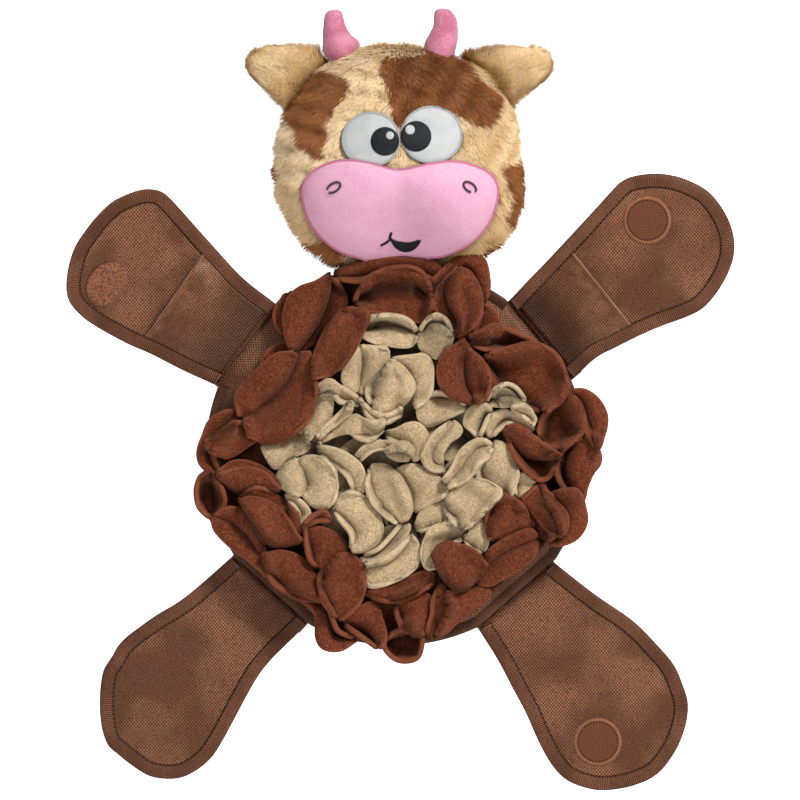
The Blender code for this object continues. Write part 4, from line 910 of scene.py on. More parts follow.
# The petals that the photograph shows, bottom to top as they lie: a name, the fleece, the sewn fold, and
# each lobe's form and rim. Folds and rims were read in the photograph's pixels, as x, y, x, y.
# An "over" lobe bends over outwards, a "cup" stands up at its rim, a "lean" is straight, a "low" lies low.
PETALS = (
    ("d06", "b", (335, 277, 362, 274, 392, 268, 420, 270, 438, 279), ("over", (337, 269, 350, 265, 365, 261,
     380, 258, 400, 257.5, 418, 259, 436, 262, 446, 275)), ("lean", (336, 280, 360, 284, 390, 279, 421, 278,
     436, 283))),
    ("d07", "b", (430, 290, 447, 276, 462, 268, 474, 276, 484, 303), ("over", (428, 283, 440, 270, 455, 258,
     470, 253, 483, 257, 489, 270, 490, 290, 486, 304)), ("lean", (433, 293, 449, 284, 462, 277, 470, 284,
     481, 303))),
    ("d10", "b", (484, 306, 482, 322, 474, 338), ("over", (485, 303, 493, 308, 499, 317, 500, 328, 492, 334,
     476, 340)), ("lean", (483, 308, 476, 322, 472, 336))),
    ("d09", "b", (437, 299, 440, 315, 449, 331), ("over", (438, 297, 447, 302, 455, 312, 455, 323, 450,
     332)), ("lean", (436, 300, 431, 312, 436, 325, 447, 333))),
    ("d08", "b", (459, 270, 447, 286, 448, 302, 458, 320, 458, 337), ("over", (461, 266, 471, 273, 480, 288,
     483, 303, 481, 317, 473, 329, 459, 340)), ("cup", (459, 267, 446, 278, 437, 291, 433, 303, 438, 320,
     447, 331, 457, 339))),
    ("d11", "b", (466, 341, 482, 343, 500, 346, 518, 346, 537, 345), ("cup", (465, 338, 482, 330, 494, 325,
     508, 329, 525, 337, 538, 344)), ("lean", (467, 344, 485, 351, 505, 353, 525, 350, 537, 347))),
    ("d05", "b", (355, 303, 372, 291, 395, 286, 415, 287, 432, 298), ("cup", (354, 303, 359, 290, 368, 278,
     380, 271, 396, 267, 411, 267, 422, 272, 429, 283, 433, 297)), ("lean", (356, 305, 368, 314, 384, 315,
     400, 317, 412, 323, 424, 322, 431, 313, 433, 301))),
    ("d38", "b", (239, 413, 224, 425, 210, 438, 207, 452, 211, 465, 220, 477), ("over", (238, 409, 222, 411,
     209, 420, 202, 434, 197, 448, 198, 462, 206, 472, 219, 480)), ("lean", (240, 416, 229, 430, 219, 443,
     217, 455, 218, 466, 222, 476))),
    ("d39", "b", (212, 475, 215, 488, 217, 503, 214, 517), ("cup", (208, 471, 200, 477, 196, 490, 198, 505,
     205, 514, 213, 519)), ("lean", (215, 476, 224, 488, 227, 503, 217, 516))),
    ("d31", "b", (213, 518, 228, 522, 245, 534, 257, 552, 266, 574), ("over", (211, 518, 213, 530, 225, 543,
     242, 557, 257, 569, 267, 577)), ("over", (213, 515, 223, 508, 237, 506, 250, 512, 260, 530, 266, 552,
     267, 573))),
    ("d32", "b", (288, 592, 308, 600, 322, 608, 327, 622, 333, 636, 355, 640), ("over", (285, 591, 299, 600,
     311, 609, 316, 622, 316, 638, 321, 648, 332, 652, 344, 650, 357, 642)), ("cup", (290, 590, 312, 595,
     327, 604, 333, 620, 340, 632, 356, 638))),
    ("d25", "b", (385, 640, 396, 636, 408, 633, 420, 632), ("cup", (382, 642, 387, 652, 397, 660, 409, 661,
     418, 657, 422, 646, 422, 633)), ("lean", (387, 638, 397, 629, 408, 627, 419, 630))),
    ("d28", "b", (342, 621, 353, 626, 366, 633, 379, 646), ("over", (343, 620, 355, 611, 367, 602, 378, 602,
     383, 618, 387, 634, 386, 645, 380, 649)), ("cup", (344, 624, 355, 632, 366, 640, 377, 648))),
    ("d24", "b", (397, 600, 400, 616, 408, 629, 420, 636), ("over", (398, 597, 411, 592, 424, 592, 432, 598,
     431, 611, 427, 625, 422, 636)), ("lean", (396, 602, 396, 617, 404, 631, 418, 637))),
    ("d26", "b", (438, 588, 436, 603, 434, 620, 430, 634), ("over", (440, 583, 446, 588, 444, 603, 442, 620,
     439, 632, 431, 638)), ("over", (436, 589, 431, 601, 430, 613, 426, 626, 427, 636))),
    ("d27", "b", (447, 593, 444, 606, 442, 621, 436, 635), ("over", (448, 591, 468, 589, 489, 588, 489, 598,
     475, 608, 461, 619, 448, 631, 435, 638)), ("lean", (446, 595, 441, 607, 440, 621, 435, 633))),
    ("d30", "b", (263, 557, 270, 573, 284, 587, 301, 596, 322, 601), ("over", (263, 553, 277, 550, 292, 552,
     304, 559, 313, 569, 320, 583, 325, 600)), ("lean", (262, 560, 267, 576, 281, 591, 300, 600, 320,
     603))),
    ("d23", "b", (366, 594, 392, 598, 414, 591, 434, 580), ("over", (365, 590, 380, 587, 395, 582, 410, 576,
     424, 570, 434, 572)), ("lean", (367, 596, 392, 603, 415, 596, 434, 584))),
    ("d17", "b", (581, 435, 569, 455, 566, 475, 576, 496), ("over", (583, 431, 594, 439, 601, 452, 601, 463,
     594, 473, 589, 485, 585, 499)), ("cup", (580, 437, 561, 452, 556, 472, 565, 490, 575, 497))),
    ("d18", "b", (546, 498, 560, 508, 566, 522, 560, 535, 549, 543), ("over", (547, 494, 561, 489, 574, 487,
     583, 494, 586, 505, 588, 519, 584, 531, 575, 541, 562, 546, 549, 545)), ("lean", (545, 501, 553, 512,
     557, 524, 553, 535, 547, 541))),
    ("d14", "b", (570, 394, 585, 408, 591, 425, 597, 448), ("over", (567, 391, 578, 388, 590, 391, 601, 401,
     608, 415, 607, 429, 603, 442, 598, 450)), ("lean", (570, 398, 578, 412, 582, 428, 592, 446))),
    ("t25", "t", (519, 474, 517, 486, 518, 497), ("over", (520, 471, 528, 475, 536, 481, 529, 490, 520,
     499)), ("lean", (517, 475, 513, 486, 515, 497))),
    ("t12", "t", (263, 445, 280, 441, 299, 432, 309, 447), ("over", (262, 448, 266, 459, 274, 469, 284, 465,
     294, 458, 306, 452)), ("lean", (264, 441, 280, 435, 299, 428, 311, 443))),
    ("t08", "t", (318, 388, 312, 405, 306, 424, 306, 438), ("over", (320, 386, 330, 388, 334, 401, 332, 415,
     325, 428, 311, 439)), ("lean", (315, 390, 308, 405, 301, 422, 303, 436))),
    ("t35", "t", (287, 497, 298, 506, 302, 516, 295, 524), ("over", (286, 493, 296, 496, 306, 504, 311, 514,
     305, 522, 296, 527)), ("lean", (287, 500, 294, 508, 297, 516, 293, 522))),
    ("t15", "t", (361, 559, 379, 553, 393, 541, 405, 527), ("over", (360, 563, 375, 563, 390, 557, 401, 546,
     409, 533, 411, 524)), ("cup", (363, 556, 378, 549, 390, 537, 401, 524))),
    ("t16", "t", (366, 566, 383, 563, 397, 555, 407, 544, 413, 536), ("over", (365, 569, 366, 585, 378, 587,
     392, 584, 405, 578, 416, 569, 421, 556, 420, 544, 414, 535)), ("lean", (367, 562, 383, 558, 395, 550,
     405, 540, 412, 533))),
    ("t19", "t", (417, 529, 430, 526, 446, 523), ("over", (416, 523, 420, 512, 430, 504, 442, 500, 448, 510,
     447, 521)), ("lean", (417, 532, 431, 530, 446, 526))),
    ("t29", "t", (424, 398, 440, 396, 456, 401, 465, 408), ("over", (416, 404, 417, 417, 424, 427, 436, 425,
     448, 419, 460, 413, 467, 410)), ("lean", (425, 395, 441, 391, 458, 397, 467, 405))),
    ("t30", "t", (387, 436, 400, 441, 411, 447, 413, 458), ("over", (386, 430, 396, 428, 407, 423, 418, 422,
     427, 430, 429, 442, 424, 454, 415, 462)), ("lean", (386, 439, 398, 445, 407, 451, 411, 459))),
    ("t32", "t", (356, 457, 368, 449, 384, 446, 403, 450), ("over", (356, 453, 365, 444, 379, 440, 394, 441,
     405, 446)), ("over", (361, 463, 369, 455, 381, 450, 394, 453, 403, 458))),
    ("t31", "t", (387, 452, 398, 450, 408, 452, 412, 457), ("over", (386, 448, 395, 443, 405, 442, 413, 448,
     414, 456)), ("over", (387, 455, 396, 460, 405, 461, 412, 458))),
    ("t17", "t", (436, 566, 438, 552, 449, 542, 464, 535), ("over", (436, 570, 425, 569, 420, 556, 422, 542,
     429, 529, 440, 523, 453, 522, 467, 529)), ("cup", (437, 563, 441, 553, 451, 545, 463, 538))),
    ("t18", "t", (464, 539, 472, 546, 483, 551), ("over", (465, 536, 473, 526, 481, 516, 487, 523, 489, 536,
     486, 549)), ("lean", (463, 541, 470, 550, 481, 554))),
    ("t24", "t", (494, 445, 487, 458, 480, 471, 486, 484, 509, 495), ("over", (496, 440, 505, 443, 513, 452,
     519, 463, 519, 475, 516, 486, 513, 496)), ("lean", (492, 447, 483, 459, 476, 472, 483, 487, 507,
     497))),
    ("t10", "t", (319, 452, 336, 459, 350, 471, 358, 490), ("over", (318, 444, 335, 447, 351, 455, 362, 465,
     366, 479, 364, 493)), ("over", (320, 458, 334, 466, 345, 477, 352, 492))),
    ("d19", "b", (541, 486, 546, 502, 555, 516, 561, 531), ("over", (542, 480, 550, 492, 560, 503, 568, 514,
     569, 525, 565, 533, 559, 537)), ("over", (540, 481, 530, 490, 521, 500, 529, 509, 537, 519, 546, 531,
     557, 537))),
    ("d15", "b", (554, 404, 547, 418, 544, 430, 542, 439), ("cup", (555, 401, 566, 393, 577, 400, 583, 413,
     584, 428, 577, 439, 564, 447, 551, 448, 541, 442)), ("lean", (552, 404, 542, 416, 537, 428, 538,
     438))),
    ("d12", "b", (486, 361, 500, 384, 518, 400, 542, 411), ("cup", (482, 357, 499, 351, 516, 346, 531, 343,
     547, 347, 558, 357, 565, 371, 568, 387, 561, 401, 546, 413)), ("lean", (485, 366, 494, 388, 511, 404,
     538, 413))),
    ("t26", "t", (487, 403, 499, 399, 512, 399, 523, 403), ("cup", (485, 404, 490, 394, 498, 387, 507, 384,
     516, 388, 523, 397, 525, 403)), ("over", (488, 406, 499, 407, 512, 406, 523, 405))),
    ("t27", "t", (477, 436, 479, 425, 483, 415, 491, 411), ("over", (478, 440, 471, 432, 463, 424, 465, 413,
     473, 405, 483, 402, 490, 406, 494, 412)), ("cup", (479, 438, 484, 427, 488, 418, 494, 413))),
    ("t28", "t", (490, 437, 497, 426, 507, 419, 519, 424, 531, 430), ("over", (488, 436, 486, 427, 492, 416,
     500, 409, 510, 410, 520, 416, 530, 424, 536, 429)), ("lean", (492, 438, 500, 430, 509, 425, 520, 430,
     530, 432))),
    ("t36", "t", (512, 408, 522, 412, 531, 419), ("over", (512, 405, 523, 404, 532, 410, 537, 419, 534,
     427)), ("lean", (511, 410, 521, 416, 530, 424))),
    ("d16", "b", (505, 434, 514, 449, 527, 457, 544, 459, 559, 457), ("over", (504, 429, 512, 423, 523, 427,
     536, 436, 549, 446, 561, 453)), ("cup", (507, 438, 514, 455, 523, 468, 535, 479, 546, 479, 554, 470,
     560, 459))),
    ("d20", "b", (502, 495, 492, 508, 488, 523, 491, 539), ("over", (504, 492, 514, 497, 524, 505, 531, 516,
     534, 527, 520, 533, 500, 542)), ("lean", (500, 495, 488, 507, 484, 522, 489, 540))),
    ("d21", "b", (483, 566, 498, 555, 515, 546, 536, 539), ("over", (484, 558, 491, 547, 502, 539, 516, 532,
     530, 528, 537, 533)), ("over", (478, 586, 491, 586, 506, 578, 523, 567, 535, 556, 538, 544))),
    ("t02", "t", (419, 335, 426, 328, 435, 324, 444, 327, 451, 336), ("over", (418, 338, 420, 349, 428, 356,
     439, 359, 448, 351, 452, 339)), ("cup", (419, 332, 426, 321, 436, 315, 446, 320, 452, 333))),
    ("t01", "t", (361, 333, 377, 330, 395, 328, 414, 334), ("cup", (361, 324, 372, 317, 387, 315, 402, 317,
     412, 323, 417, 333)), ("over", (361, 337, 371, 343, 385, 346, 400, 348, 412, 347, 418, 339))),
    ("t05", "t", (361, 346, 362, 362, 361, 378, 360, 392), ("over", (364, 346, 377, 346, 389, 349, 389, 361,
     382, 375, 371, 387, 361, 394)), ("over", (359, 345, 350, 358, 342, 372, 343, 385, 357, 394))),
    ("t06", "t", (319, 392, 330, 388, 341, 397, 360, 402), ("over", (317, 386, 324, 380, 332, 379, 340, 384,
     350, 391, 362, 396)), ("lean", (321, 397, 331, 395, 341, 404, 357, 407))),
    ("t03", "t", (393, 361, 406, 368, 413, 380, 412, 396), ("over", (392, 357, 408, 355, 424, 354, 432, 361,
     434, 377, 433, 392, 426, 403, 417, 409)), ("lean", (391, 364, 402, 372, 408, 382, 407, 398))),
    ("t04", "t", (389, 363, 378, 378, 372, 392, 374, 406), ("over", (392, 359, 403, 367, 412, 378, 415, 387,
     409, 399, 398, 410, 386, 415, 376, 411)), ("lean", (387, 364, 372, 378, 365, 392, 369, 406))),
    ("t07", "t", (361, 402, 370, 412, 382, 419, 401, 413), ("over", (360, 397, 368, 406, 379, 413, 391, 412,
     401, 406)), ("lean", (361, 406, 369, 418, 382, 425, 400, 418))),
    ("t09", "t", (345, 426, 357, 434, 371, 435, 383, 427), ("over", (318, 444, 327, 438, 336, 428, 345, 418,
     357, 414, 370, 420, 384, 418)), ("over", (347, 430, 358, 440, 372, 441, 384, 432))),
    ("t09b", "t", (350, 404, 342, 415, 330, 426, 319, 437), ("over", (353, 401, 352, 411, 343, 420, 330,
     430, 321, 440)), ("over", (347, 401, 340, 411, 328, 422, 316, 436))),
    ("t13", "t", (334, 510, 345, 520, 355, 532, 352, 548), ("over", (335, 500, 346, 491, 360, 492, 372, 501,
     381, 516, 384, 531, 378, 544, 366, 551, 353, 552)), ("lean", (334, 514, 343, 525, 350, 536, 351,
     550))),
    ("t11", "t", (301, 462, 306, 474, 308, 484, 304, 495), ("over", (301, 456, 315, 455, 328, 461, 336, 471,
     339, 485, 336, 499, 328, 509, 315, 508, 305, 497)), ("over", (299, 457, 288, 461, 279, 470, 276, 479,
     282, 489, 292, 495, 302, 496))),
    ("t20", "t", (445, 497, 449, 510, 456, 520, 464, 528), ("over", (446, 494, 456, 485, 468, 480, 482, 479,
     494, 484, 503, 491, 496, 501, 485, 513, 475, 523, 466, 529)), ("lean", (443, 499, 445, 512, 452, 523,
     463, 531))),
    ("t21", "t", (396, 473, 405, 481, 411, 493, 413, 510), ("over", (395, 470, 406, 464, 419, 465, 432, 471,
     443, 480, 449, 489, 443, 497, 430, 503, 418, 512)), ("lean", (394, 476, 400, 485, 405, 496, 409,
     511))),
    ("t22", "t", (452, 423, 440, 437, 431, 450, 433, 462, 443, 467), ("over", (450, 421, 438, 428, 427, 440,
     421, 453, 423, 464, 432, 472, 445, 473)), ("over", (455, 420, 462, 428, 460, 435, 451, 441, 445, 451,
     441, 461))),
    ("t23", "t", (446, 483, 458, 469, 467, 456, 478, 447, 490, 446), ("over", (442, 478, 450, 467, 456, 455,
     464, 446, 474, 439, 485, 438, 491, 444)), ("over", (450, 488, 463, 484, 472, 477, 480, 465, 489, 458,
     492, 451))),
    ("t14", "t", (371, 468, 370, 482, 376, 497, 388, 508, 399, 515), ("over", (373, 464, 385, 464, 396, 471,
     404, 482, 410, 496, 412, 508, 408, 520, 399, 523)), ("over", (368, 471, 365, 485, 370, 502, 381, 515,
     395, 525))),
    ("d36", "b", (219, 477, 230, 489, 242, 495, 259, 490, 279, 491), ("lean", (218, 472, 235, 468, 255, 468,
     270, 475, 280, 488)), ("over", (217, 470, 231, 461, 247, 460, 262, 466, 273, 475))),
    ("d37", "b", (205, 444, 222, 434, 240, 425, 254, 434), ("over", (203, 447, 212, 454, 225, 459, 237, 455,
     248, 447, 257, 442)), ("lean", (204, 441, 221, 430, 240, 421, 254, 431))),
    ("d34", "b", (240, 500, 248, 515, 256, 532, 266, 544, 281, 548, 301, 541), ("lean", (240, 498, 256, 497,
     271, 502, 284, 511, 293, 524, 302, 539)), ("over", (240, 495, 250, 488, 260, 486, 272, 491, 285, 500,
     297, 511))),
    ("d33", "b", (307, 529, 310, 545, 314, 560, 321, 568), ("over", (308, 527, 320, 526, 334, 531, 344, 540,
     348, 550, 342, 560, 331, 567, 322, 570)), ("lean", (304, 524, 305, 545, 309, 560, 319, 569))),
    ("d33b", "b", (306, 524, 314, 518, 324, 516, 331, 521), ("over", (304, 521, 313, 513, 324, 509, 331,
     518)), ("lean", (306, 526, 315, 523, 325, 522, 331, 523))),
    ("d29", "b", (335, 557, 325, 570, 322, 585, 328, 602, 339, 619), ("over", (337, 555, 349, 552, 359, 559,
     366, 572, 366, 588, 361, 603, 352, 614, 341, 621)), ("lean", (333, 558, 321, 570, 318, 585, 324, 603,
     337, 620))),
    ("d22", "b", (434, 558, 440, 573, 448, 586, 459, 590, 470, 586, 479, 577, 486, 566), ("over", (432, 554,
     439, 545, 451, 542, 463, 544, 475, 550, 487, 562)), ("lean", (434, 556, 446, 552, 460, 550, 473, 554,
     487, 564))),
    ("d01", "b", (330, 276, 327, 300, 317, 325, 295, 352), ("over", (328, 272, 316, 280, 300, 286, 288, 297,
     283, 312, 283, 327, 286, 342, 292, 352)), ("low", (332, 276, 341, 284, 348, 298, 345, 315, 330, 335,
     300, 353))),
    ("d02", "b", (297, 355, 291, 375, 273, 397, 243, 419), ("over", (295, 352, 283, 351, 272, 355, 262, 364,
     244, 382, 236, 392, 234, 403, 238, 415)), ("over", (300, 352, 311, 351, 314, 365, 317, 380, 318, 393,
     313, 416, 301, 430, 285, 440, 266, 444, 249, 438))),
    ("d03", "b", (344, 312, 328, 325, 319, 342, 312, 363), ("over", (346, 309, 357, 308, 371, 315, 365, 332,
     359, 345, 352, 357, 342, 368, 330, 377, 314, 380)), ("lean", (341, 308, 334, 322, 324, 337, 317, 352,
     311, 365))),
    ("d13", "b", (470, 350, 466, 362, 466, 378, 469, 390, 477, 402), ("over", (468, 347, 478, 354, 487, 365,
     491, 379, 489, 393, 483, 401, 478, 404)), ("over", (463, 338, 454, 344, 444, 351, 437, 365, 437, 382,
     444, 393, 456, 401, 470, 404))),
)

# Discs that lie lowest, between the others: middle and radius in pixels, and the fold's direction
UNDER_DISCS = (
    ("t", (402, 352), 30, 10), ("t", (346, 420), 32, 70), ("t", (404, 420), 34, 150),
    ("t", (458, 432), 32, 40), ("t", (318, 462), 28, 120), ("t", (366, 470), 34, 20),
    ("t", (352, 520), 32, 100), ("t", (414, 510), 32, 60), ("t", (468, 488), 32, 140),
    ("t", (396, 552), 28, 170), ("t", (448, 540), 28, 30), ("b", (350, 300), 30, 80),
    ("b", (404, 292), 30, 0), ("b", (458, 306), 30, 120), ("b", (500, 372), 32, 50),
    ("b", (560, 428), 30, 100), ("b", (556, 488), 32, 80), ("b", (518, 528), 30, 30),
    ("b", (470, 572), 32, 10), ("b", (408, 608), 32, 90), ("b", (346, 596), 34, 60),
    ("b", (290, 556), 32, 140), ("b", (244, 494), 34, 60), ("b", (244, 440), 32, 110),
    ("b", (290, 372), 32, 130), ("b", (296, 316), 24, 70),
)
UNDER_ARC = tuple(range(15, 180, 25))


def under_disc(number, fleece, middle, radius, azimuth):
    """A disc that lies low, folded along a line through its middle, in the form of a PETALS entry."""
    middle = np.array(middle, float)
    ahead, side = turn(azimuth)[:2] * radius, turn(azimuth + 90)[:2] * radius
    fold = [middle + ahead * share for share in (-1, 0, 1)]
    angles = np.radians(UNDER_ARC)
    along, out = np.outer(np.cos(angles), ahead), np.outer(np.sin(angles), side)
    return (f"u{number:02d}", fleece, fold, *(("low", middle - along + out * way) for way in (1, -1)))


# Half the fleece's thickness, the least left at its rim, and how a lobe thins towards its narrow ends
FLEECE_HALF = 0.00135
LEAST_HALF = 0.00004
END_HALVES, END_LEAST = 3, 0.1
# Heights above the ground: a lobe's sewn fold, and what its tips rise above that, then the top of a lobe
# that is narrow and so stands up, of one that is at least LYING_REACH wide and so lies over, of a low one
BASE_HEIGHT, TIP_LIFT = 0.0085, 0.0060
UPRIGHT_TOP, LYING_TOP, LOW_TOP = 0.0265, 0.0225, BASE_HEIGHT + 0.0035
LYING_REACH = 0.021
CUP_RISE = 0.0020
LEAST_REACH, LEAST_LENGTH = 0.0012, 0.003
# How blunt a lobe's top line is, and the curves of its section by form: powers and shares
TOP_BLUNT = 3.2
CREST_SHARE, DROOP_SHARE, OPEN_SHARE = 0.52, 0.38, 0.32
OVER_POWERS, CUP_POWERS = (0.85, 0.8), (0.75, 1.15)
CUP_CURVED, CUP_STRAIGHT = 0.9, 0.1
# The soft unevenness of the fleece: its length, height and growth towards the rim
UNEVEN_LENGTH, UNEVEN, UNEVEN_POWER = 0.009, 0.0013, 1.2
COLUMNS = 40
LOBE_ROWS = 14
RIM_ROWS = (0.0013, 0.0010, 0.0006, 0.00025, 0.0)
PETAL_SEED = 50
# Laying petals on one another: the cells of the map and its width, the lowest height, the gap between
# two middle layers, the most that a petal is lifted, and rounds and rows of smoothing
CELL, COVER_SPAN, COVER_FLOOR = 0.0007, 0.30, 0.004
COVER = 0.0029
MOST_LIFT = 0.020
LIFT_ROUNDS, LINE_ROUNDS, FOLD_ROWS, FOLD_FADE_ROWS = 30, 12, 3, 4
# Where a folded leg or the tilted head stands over the pile: its direction, half its width, and how
# far out the petals may reach there (less on the front legs, whose pockets face the pile)
PRESSES = {
    "front_right_leg_fold": (LEG_AZIMUTHS["front_right"], LEG_SEAM_HALF, 0.0910),
    "front_left_leg_fold": (LEG_AZIMUTHS["front_left"], LEG_SEAM_HALF, 0.0910),
    "rear_left_leg_fold": (LEG_AZIMUTHS["rear_left"], LEG_SEAM_HALF, 0.0948),
    "rear_right_leg_fold": (LEG_AZIMUTHS["rear_right"], LEG_SEAM_HALF, 0.0948),
    "head_tilt": (NECK_AZIMUTH, 0.052, 0.0940),
}


class Cover:
    """How high the fleece reaches above each small cell of the mat, as discs are laid on one another."""

    def __init__(self):
        self.size = int(COVER_SPAN / CELL)
        self.heights = np.full((self.size, self.size), COVER_FLOOR)

    def cells(self, points):
        place = np.clip(((points[..., :2] + COVER_SPAN / 2) / CELL).astype(int), 1, self.size - 2)
        return place[..., 0], place[..., 1]

    def above(self, points):
        return self.heights[self.cells(points)]

    def add(self, grid):
        """Lays a grid of points down, filled in between them."""
        fine = grid
        for axis in (0, 0, 1, 1):
            count = fine.shape[axis]
            middle = (fine.take(range(count - 1), axis) + fine.take(range(1, count), axis)) / 2
            shape = list(fine.shape)
            shape[axis] = 2 * count - 1
            woven = np.empty(shape)
            index = [slice(None)] * 3
            index[axis] = slice(0, None, 2)
            woven[tuple(index)] = fine
            index[axis] = slice(1, None, 2)
            woven[tuple(index)] = middle
            fine = woven
        np.maximum.at(self.heights, self.cells(fine), fine[..., 2])


def soften(values):
    """Each value's mean with its neighbours in a grid."""
    padded = np.pad(values, 1, mode="edge")
    return (
        padded[1:-1, 1:-1] * 2 + padded[:-2, 1:-1] + padded[2:, 1:-1] + padded[1:-1, :-2] + padded[1:-1, 2:]
    ) / 6


def lobe_grid(fold, rim, form, seed):
    """A lobe's middle surface: rows from the fold to the rim, columns along it."""
    columns = len(fold)
    s = np.linspace(-1, 1, columns)
    way = rim - fold
    reach = np.maximum(np.linalg.norm(way, axis=1), LEAST_REACH)
    way = way / reach[:, None]
    rise_s = np.sqrt(np.maximum(1 - np.abs(s) ** TOP_BLUNT, 0))
    lying = np.clip(reach / LYING_REACH, 0, 1)
    top = UPRIGHT_TOP + (LYING_TOP - UPRIGHT_TOP) * lying + (CUP_RISE if form == "cup" else 0)
    tip_lift = TIP_LIFT
    if form == "low":
        top, tip_lift = LOW_TOP, 0.0
    tip = BASE_HEIGHT + tip_lift
    rim_height = tip + (top - tip) * rise_s
    fold_height = BASE_HEIGHT + tip_lift * np.abs(s) ** 3
    rows = []
    length = np.maximum(np.hypot(reach, rim_height - fold_height), LEAST_LENGTH)
    shares = [k / LOBE_ROWS * (1 - RIM_ROWS[0] / length) for k in range(LOBE_ROWS + 1)]
    shares += [1 - gap / length for gap in RIM_ROWS[1:]]
    for t in shares:
        angle = t * math.pi / 2
        if form == "over":
            rising, falling = np.minimum(2 * t, 1) * math.pi / 2, np.maximum(2 * t - 1, 0)
            out = (OPEN_SHARE * t + (1 - OPEN_SHARE) * (1 - np.cos(angle) ** OVER_POWERS[0])) * (1 - lying)
            opened = OPEN_SHARE * np.minimum(2 * t, 1) + (CREST_SHARE - OPEN_SHARE) * (1 - np.cos(rising))
            out += (opened + (1 - CREST_SHARE) * falling) * lying
            drooped = np.sin(rising) - DROOP_SHARE * falling**2
            up = np.sin(angle) ** OVER_POWERS[1] * (1 - lying) + drooped * lying
        elif form == "cup":
            out = np.sin(angle) ** CUP_POWERS[0]
            up = (1 - np.cos(angle)) ** CUP_POWERS[1] * CUP_CURVED + CUP_STRAIGHT * t
        else:
            out = t
            up = np.sin(angle)
        flat = fold + way * (reach * out)[:, None]
        height = fold_height + (rim_height - fold_height) * up
        rows.append(np.concatenate([flat, height[:, None]], axis=1))
    grid = np.array(rows)
    weight = np.linspace(0, 1, len(grid))[:, None] ** UNEVEN_POWER
    grid[..., 2] += waves(grid[..., :2], UNEVEN_LENGTH, seed) * UNEVEN * weight * rise_s[None, :]
    return grid


def thickness(grid, gaps):
    """Half thicknesses over a lobe, rounded off towards its rim."""
    edge = np.linalg.norm(grid[-1] - grid[0], axis=1)
    rim_gap = np.minimum(gaps, FLEECE_HALF)
    half = np.sqrt(np.maximum(1 - (1 - rim_gap / FLEECE_HALF) ** 2, 0)) * FLEECE_HALF
    ends = np.clip(edge / (END_HALVES * FLEECE_HALF), END_LEAST, 1)
    return half * ends[None, :]


def needed_lift(grid, cover):
    """How far each point of a lobe must rise to lie on what is already there."""
    needed = np.clip(cover.above(grid) + COVER - grid[..., 2], 0, MOST_LIFT)
    padded = np.pad(needed, 1, mode="edge")
    rows, columns = needed.shape
    windows = [padded[r : r + rows, c : c + columns] for r in range(3) for c in range(3)]
    return np.max(windows, axis=0)


def lay(grid, needed, fold_lift):
    """Lifts a lobe where it lies over what is already there, without creases. Its fold is shared."""
    fade = np.clip(np.arange(len(grid)) / FOLD_FADE_ROWS, 0, 1)[:, None]
    needed = fold_lift[None, :] * (1 - fade) + needed * fade
    lift = needed
    for _ in range(LIFT_ROUNDS):
        lift = np.maximum(soften(lift), needed)
        lift[0] = fold_lift
    lifted = grid.copy()
    lifted[..., 2] += lift
    return lifted


def soft_line(values):
    """A smooth line that stays at or above the values."""
    line = values
    for _ in range(LINE_ROUNDS):
        padded = np.pad(line, 1, mode="edge")
        line = np.maximum((padded[:-2] + 2 * line + padded[2:]) / 4, values)
    return line


def crumple(piece):
    """Gives a petal in the way of a folding leg, or of the head as it tilts over the mat, a mesh of its own.
    """
    points = np.array([vertex.co for vertex in piece.data.vertices])
    for joint, (azimuth, half, room) in PRESSES.items():
        ahead = turn(azimuth)
        out, across = points @ ahead, np.abs(points @ turn(azimuth + 90))
        near = out[across < half].max(initial=0)
        if near > room:
            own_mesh(piece)
            return


def build_petals():
    """Every fleece disc, folded in two along its sewn line, laid from the bottom of the pile up."""
    cover = Cover()
    stations = np.sin(np.linspace(-math.pi / 2, math.pi / 2, COLUMNS + 1)) / 2 + 0.5
    stations = (stations + np.linspace(0, 1, COLUMNS + 1)) / 2
    laid = []
    under = [under_disc(k, *disc) for k, disc in enumerate(UNDER_DISCS)]
    for order, (name, fleece, fold, *rims) in enumerate((*under, *PETALS)):
        line = smooth_line(spots(fold), stations)
        lobes = []
        for k, (form, rim) in enumerate(rims):
            edge = smooth_line(spots(rim), stations)
            lobes.append(lobe_grid(line, edge, form, PETAL_SEED + order * 2 + k))
        lifts = [needed_lift(lobe, cover)[:FOLD_ROWS].max(axis=0) for lobe in lobes]
        fold_lift = soft_line(np.max(lifts, axis=0))
        second = lay(lobes[1], needed_lift(lobes[1], cover), fold_lift)
        cover.add(second)
        first = lay(lobes[0], needed_lift(lobes[0], cover), fold_lift)
        cover.add(first)
        middle = np.concatenate([first[::-1], second[1:]])
        halves, flats = [], []
        for grid in (first, second):
            steps = np.linalg.norm(np.diff(grid, axis=0), axis=2)
            level = np.zeros((1, grid.shape[1]))
            to_rim = np.concatenate([np.cumsum(steps[::-1], axis=0)[::-1], level])
            from_fold = np.concatenate([level, np.cumsum(steps, axis=0)])
            halves.append(thickness(grid, to_rim))
            flats.append(np.stack([to_rim, from_fold, 0 * to_rim], axis=-1))
        half = np.maximum(np.concatenate([halves[0][::-1], halves[1][1:]]), LEAST_HALF)
        laid.append((name, fleece, middle, half, np.concatenate([flats[0][::-1], flats[1][1:]])))
    for name, fleece, middle, half, flat in laid:
        material = BROWN if fleece == "b" else TAN
        piece = shell(f"petal_{name}", middle, half, material, flat)
        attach(piece, "mat")
        crumple(piece)
    brown = [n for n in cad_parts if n.startswith("brown_petals")]
    tan = [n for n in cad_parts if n.startswith("tan_petals")]
    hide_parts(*brown)
    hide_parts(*tan)

# Head

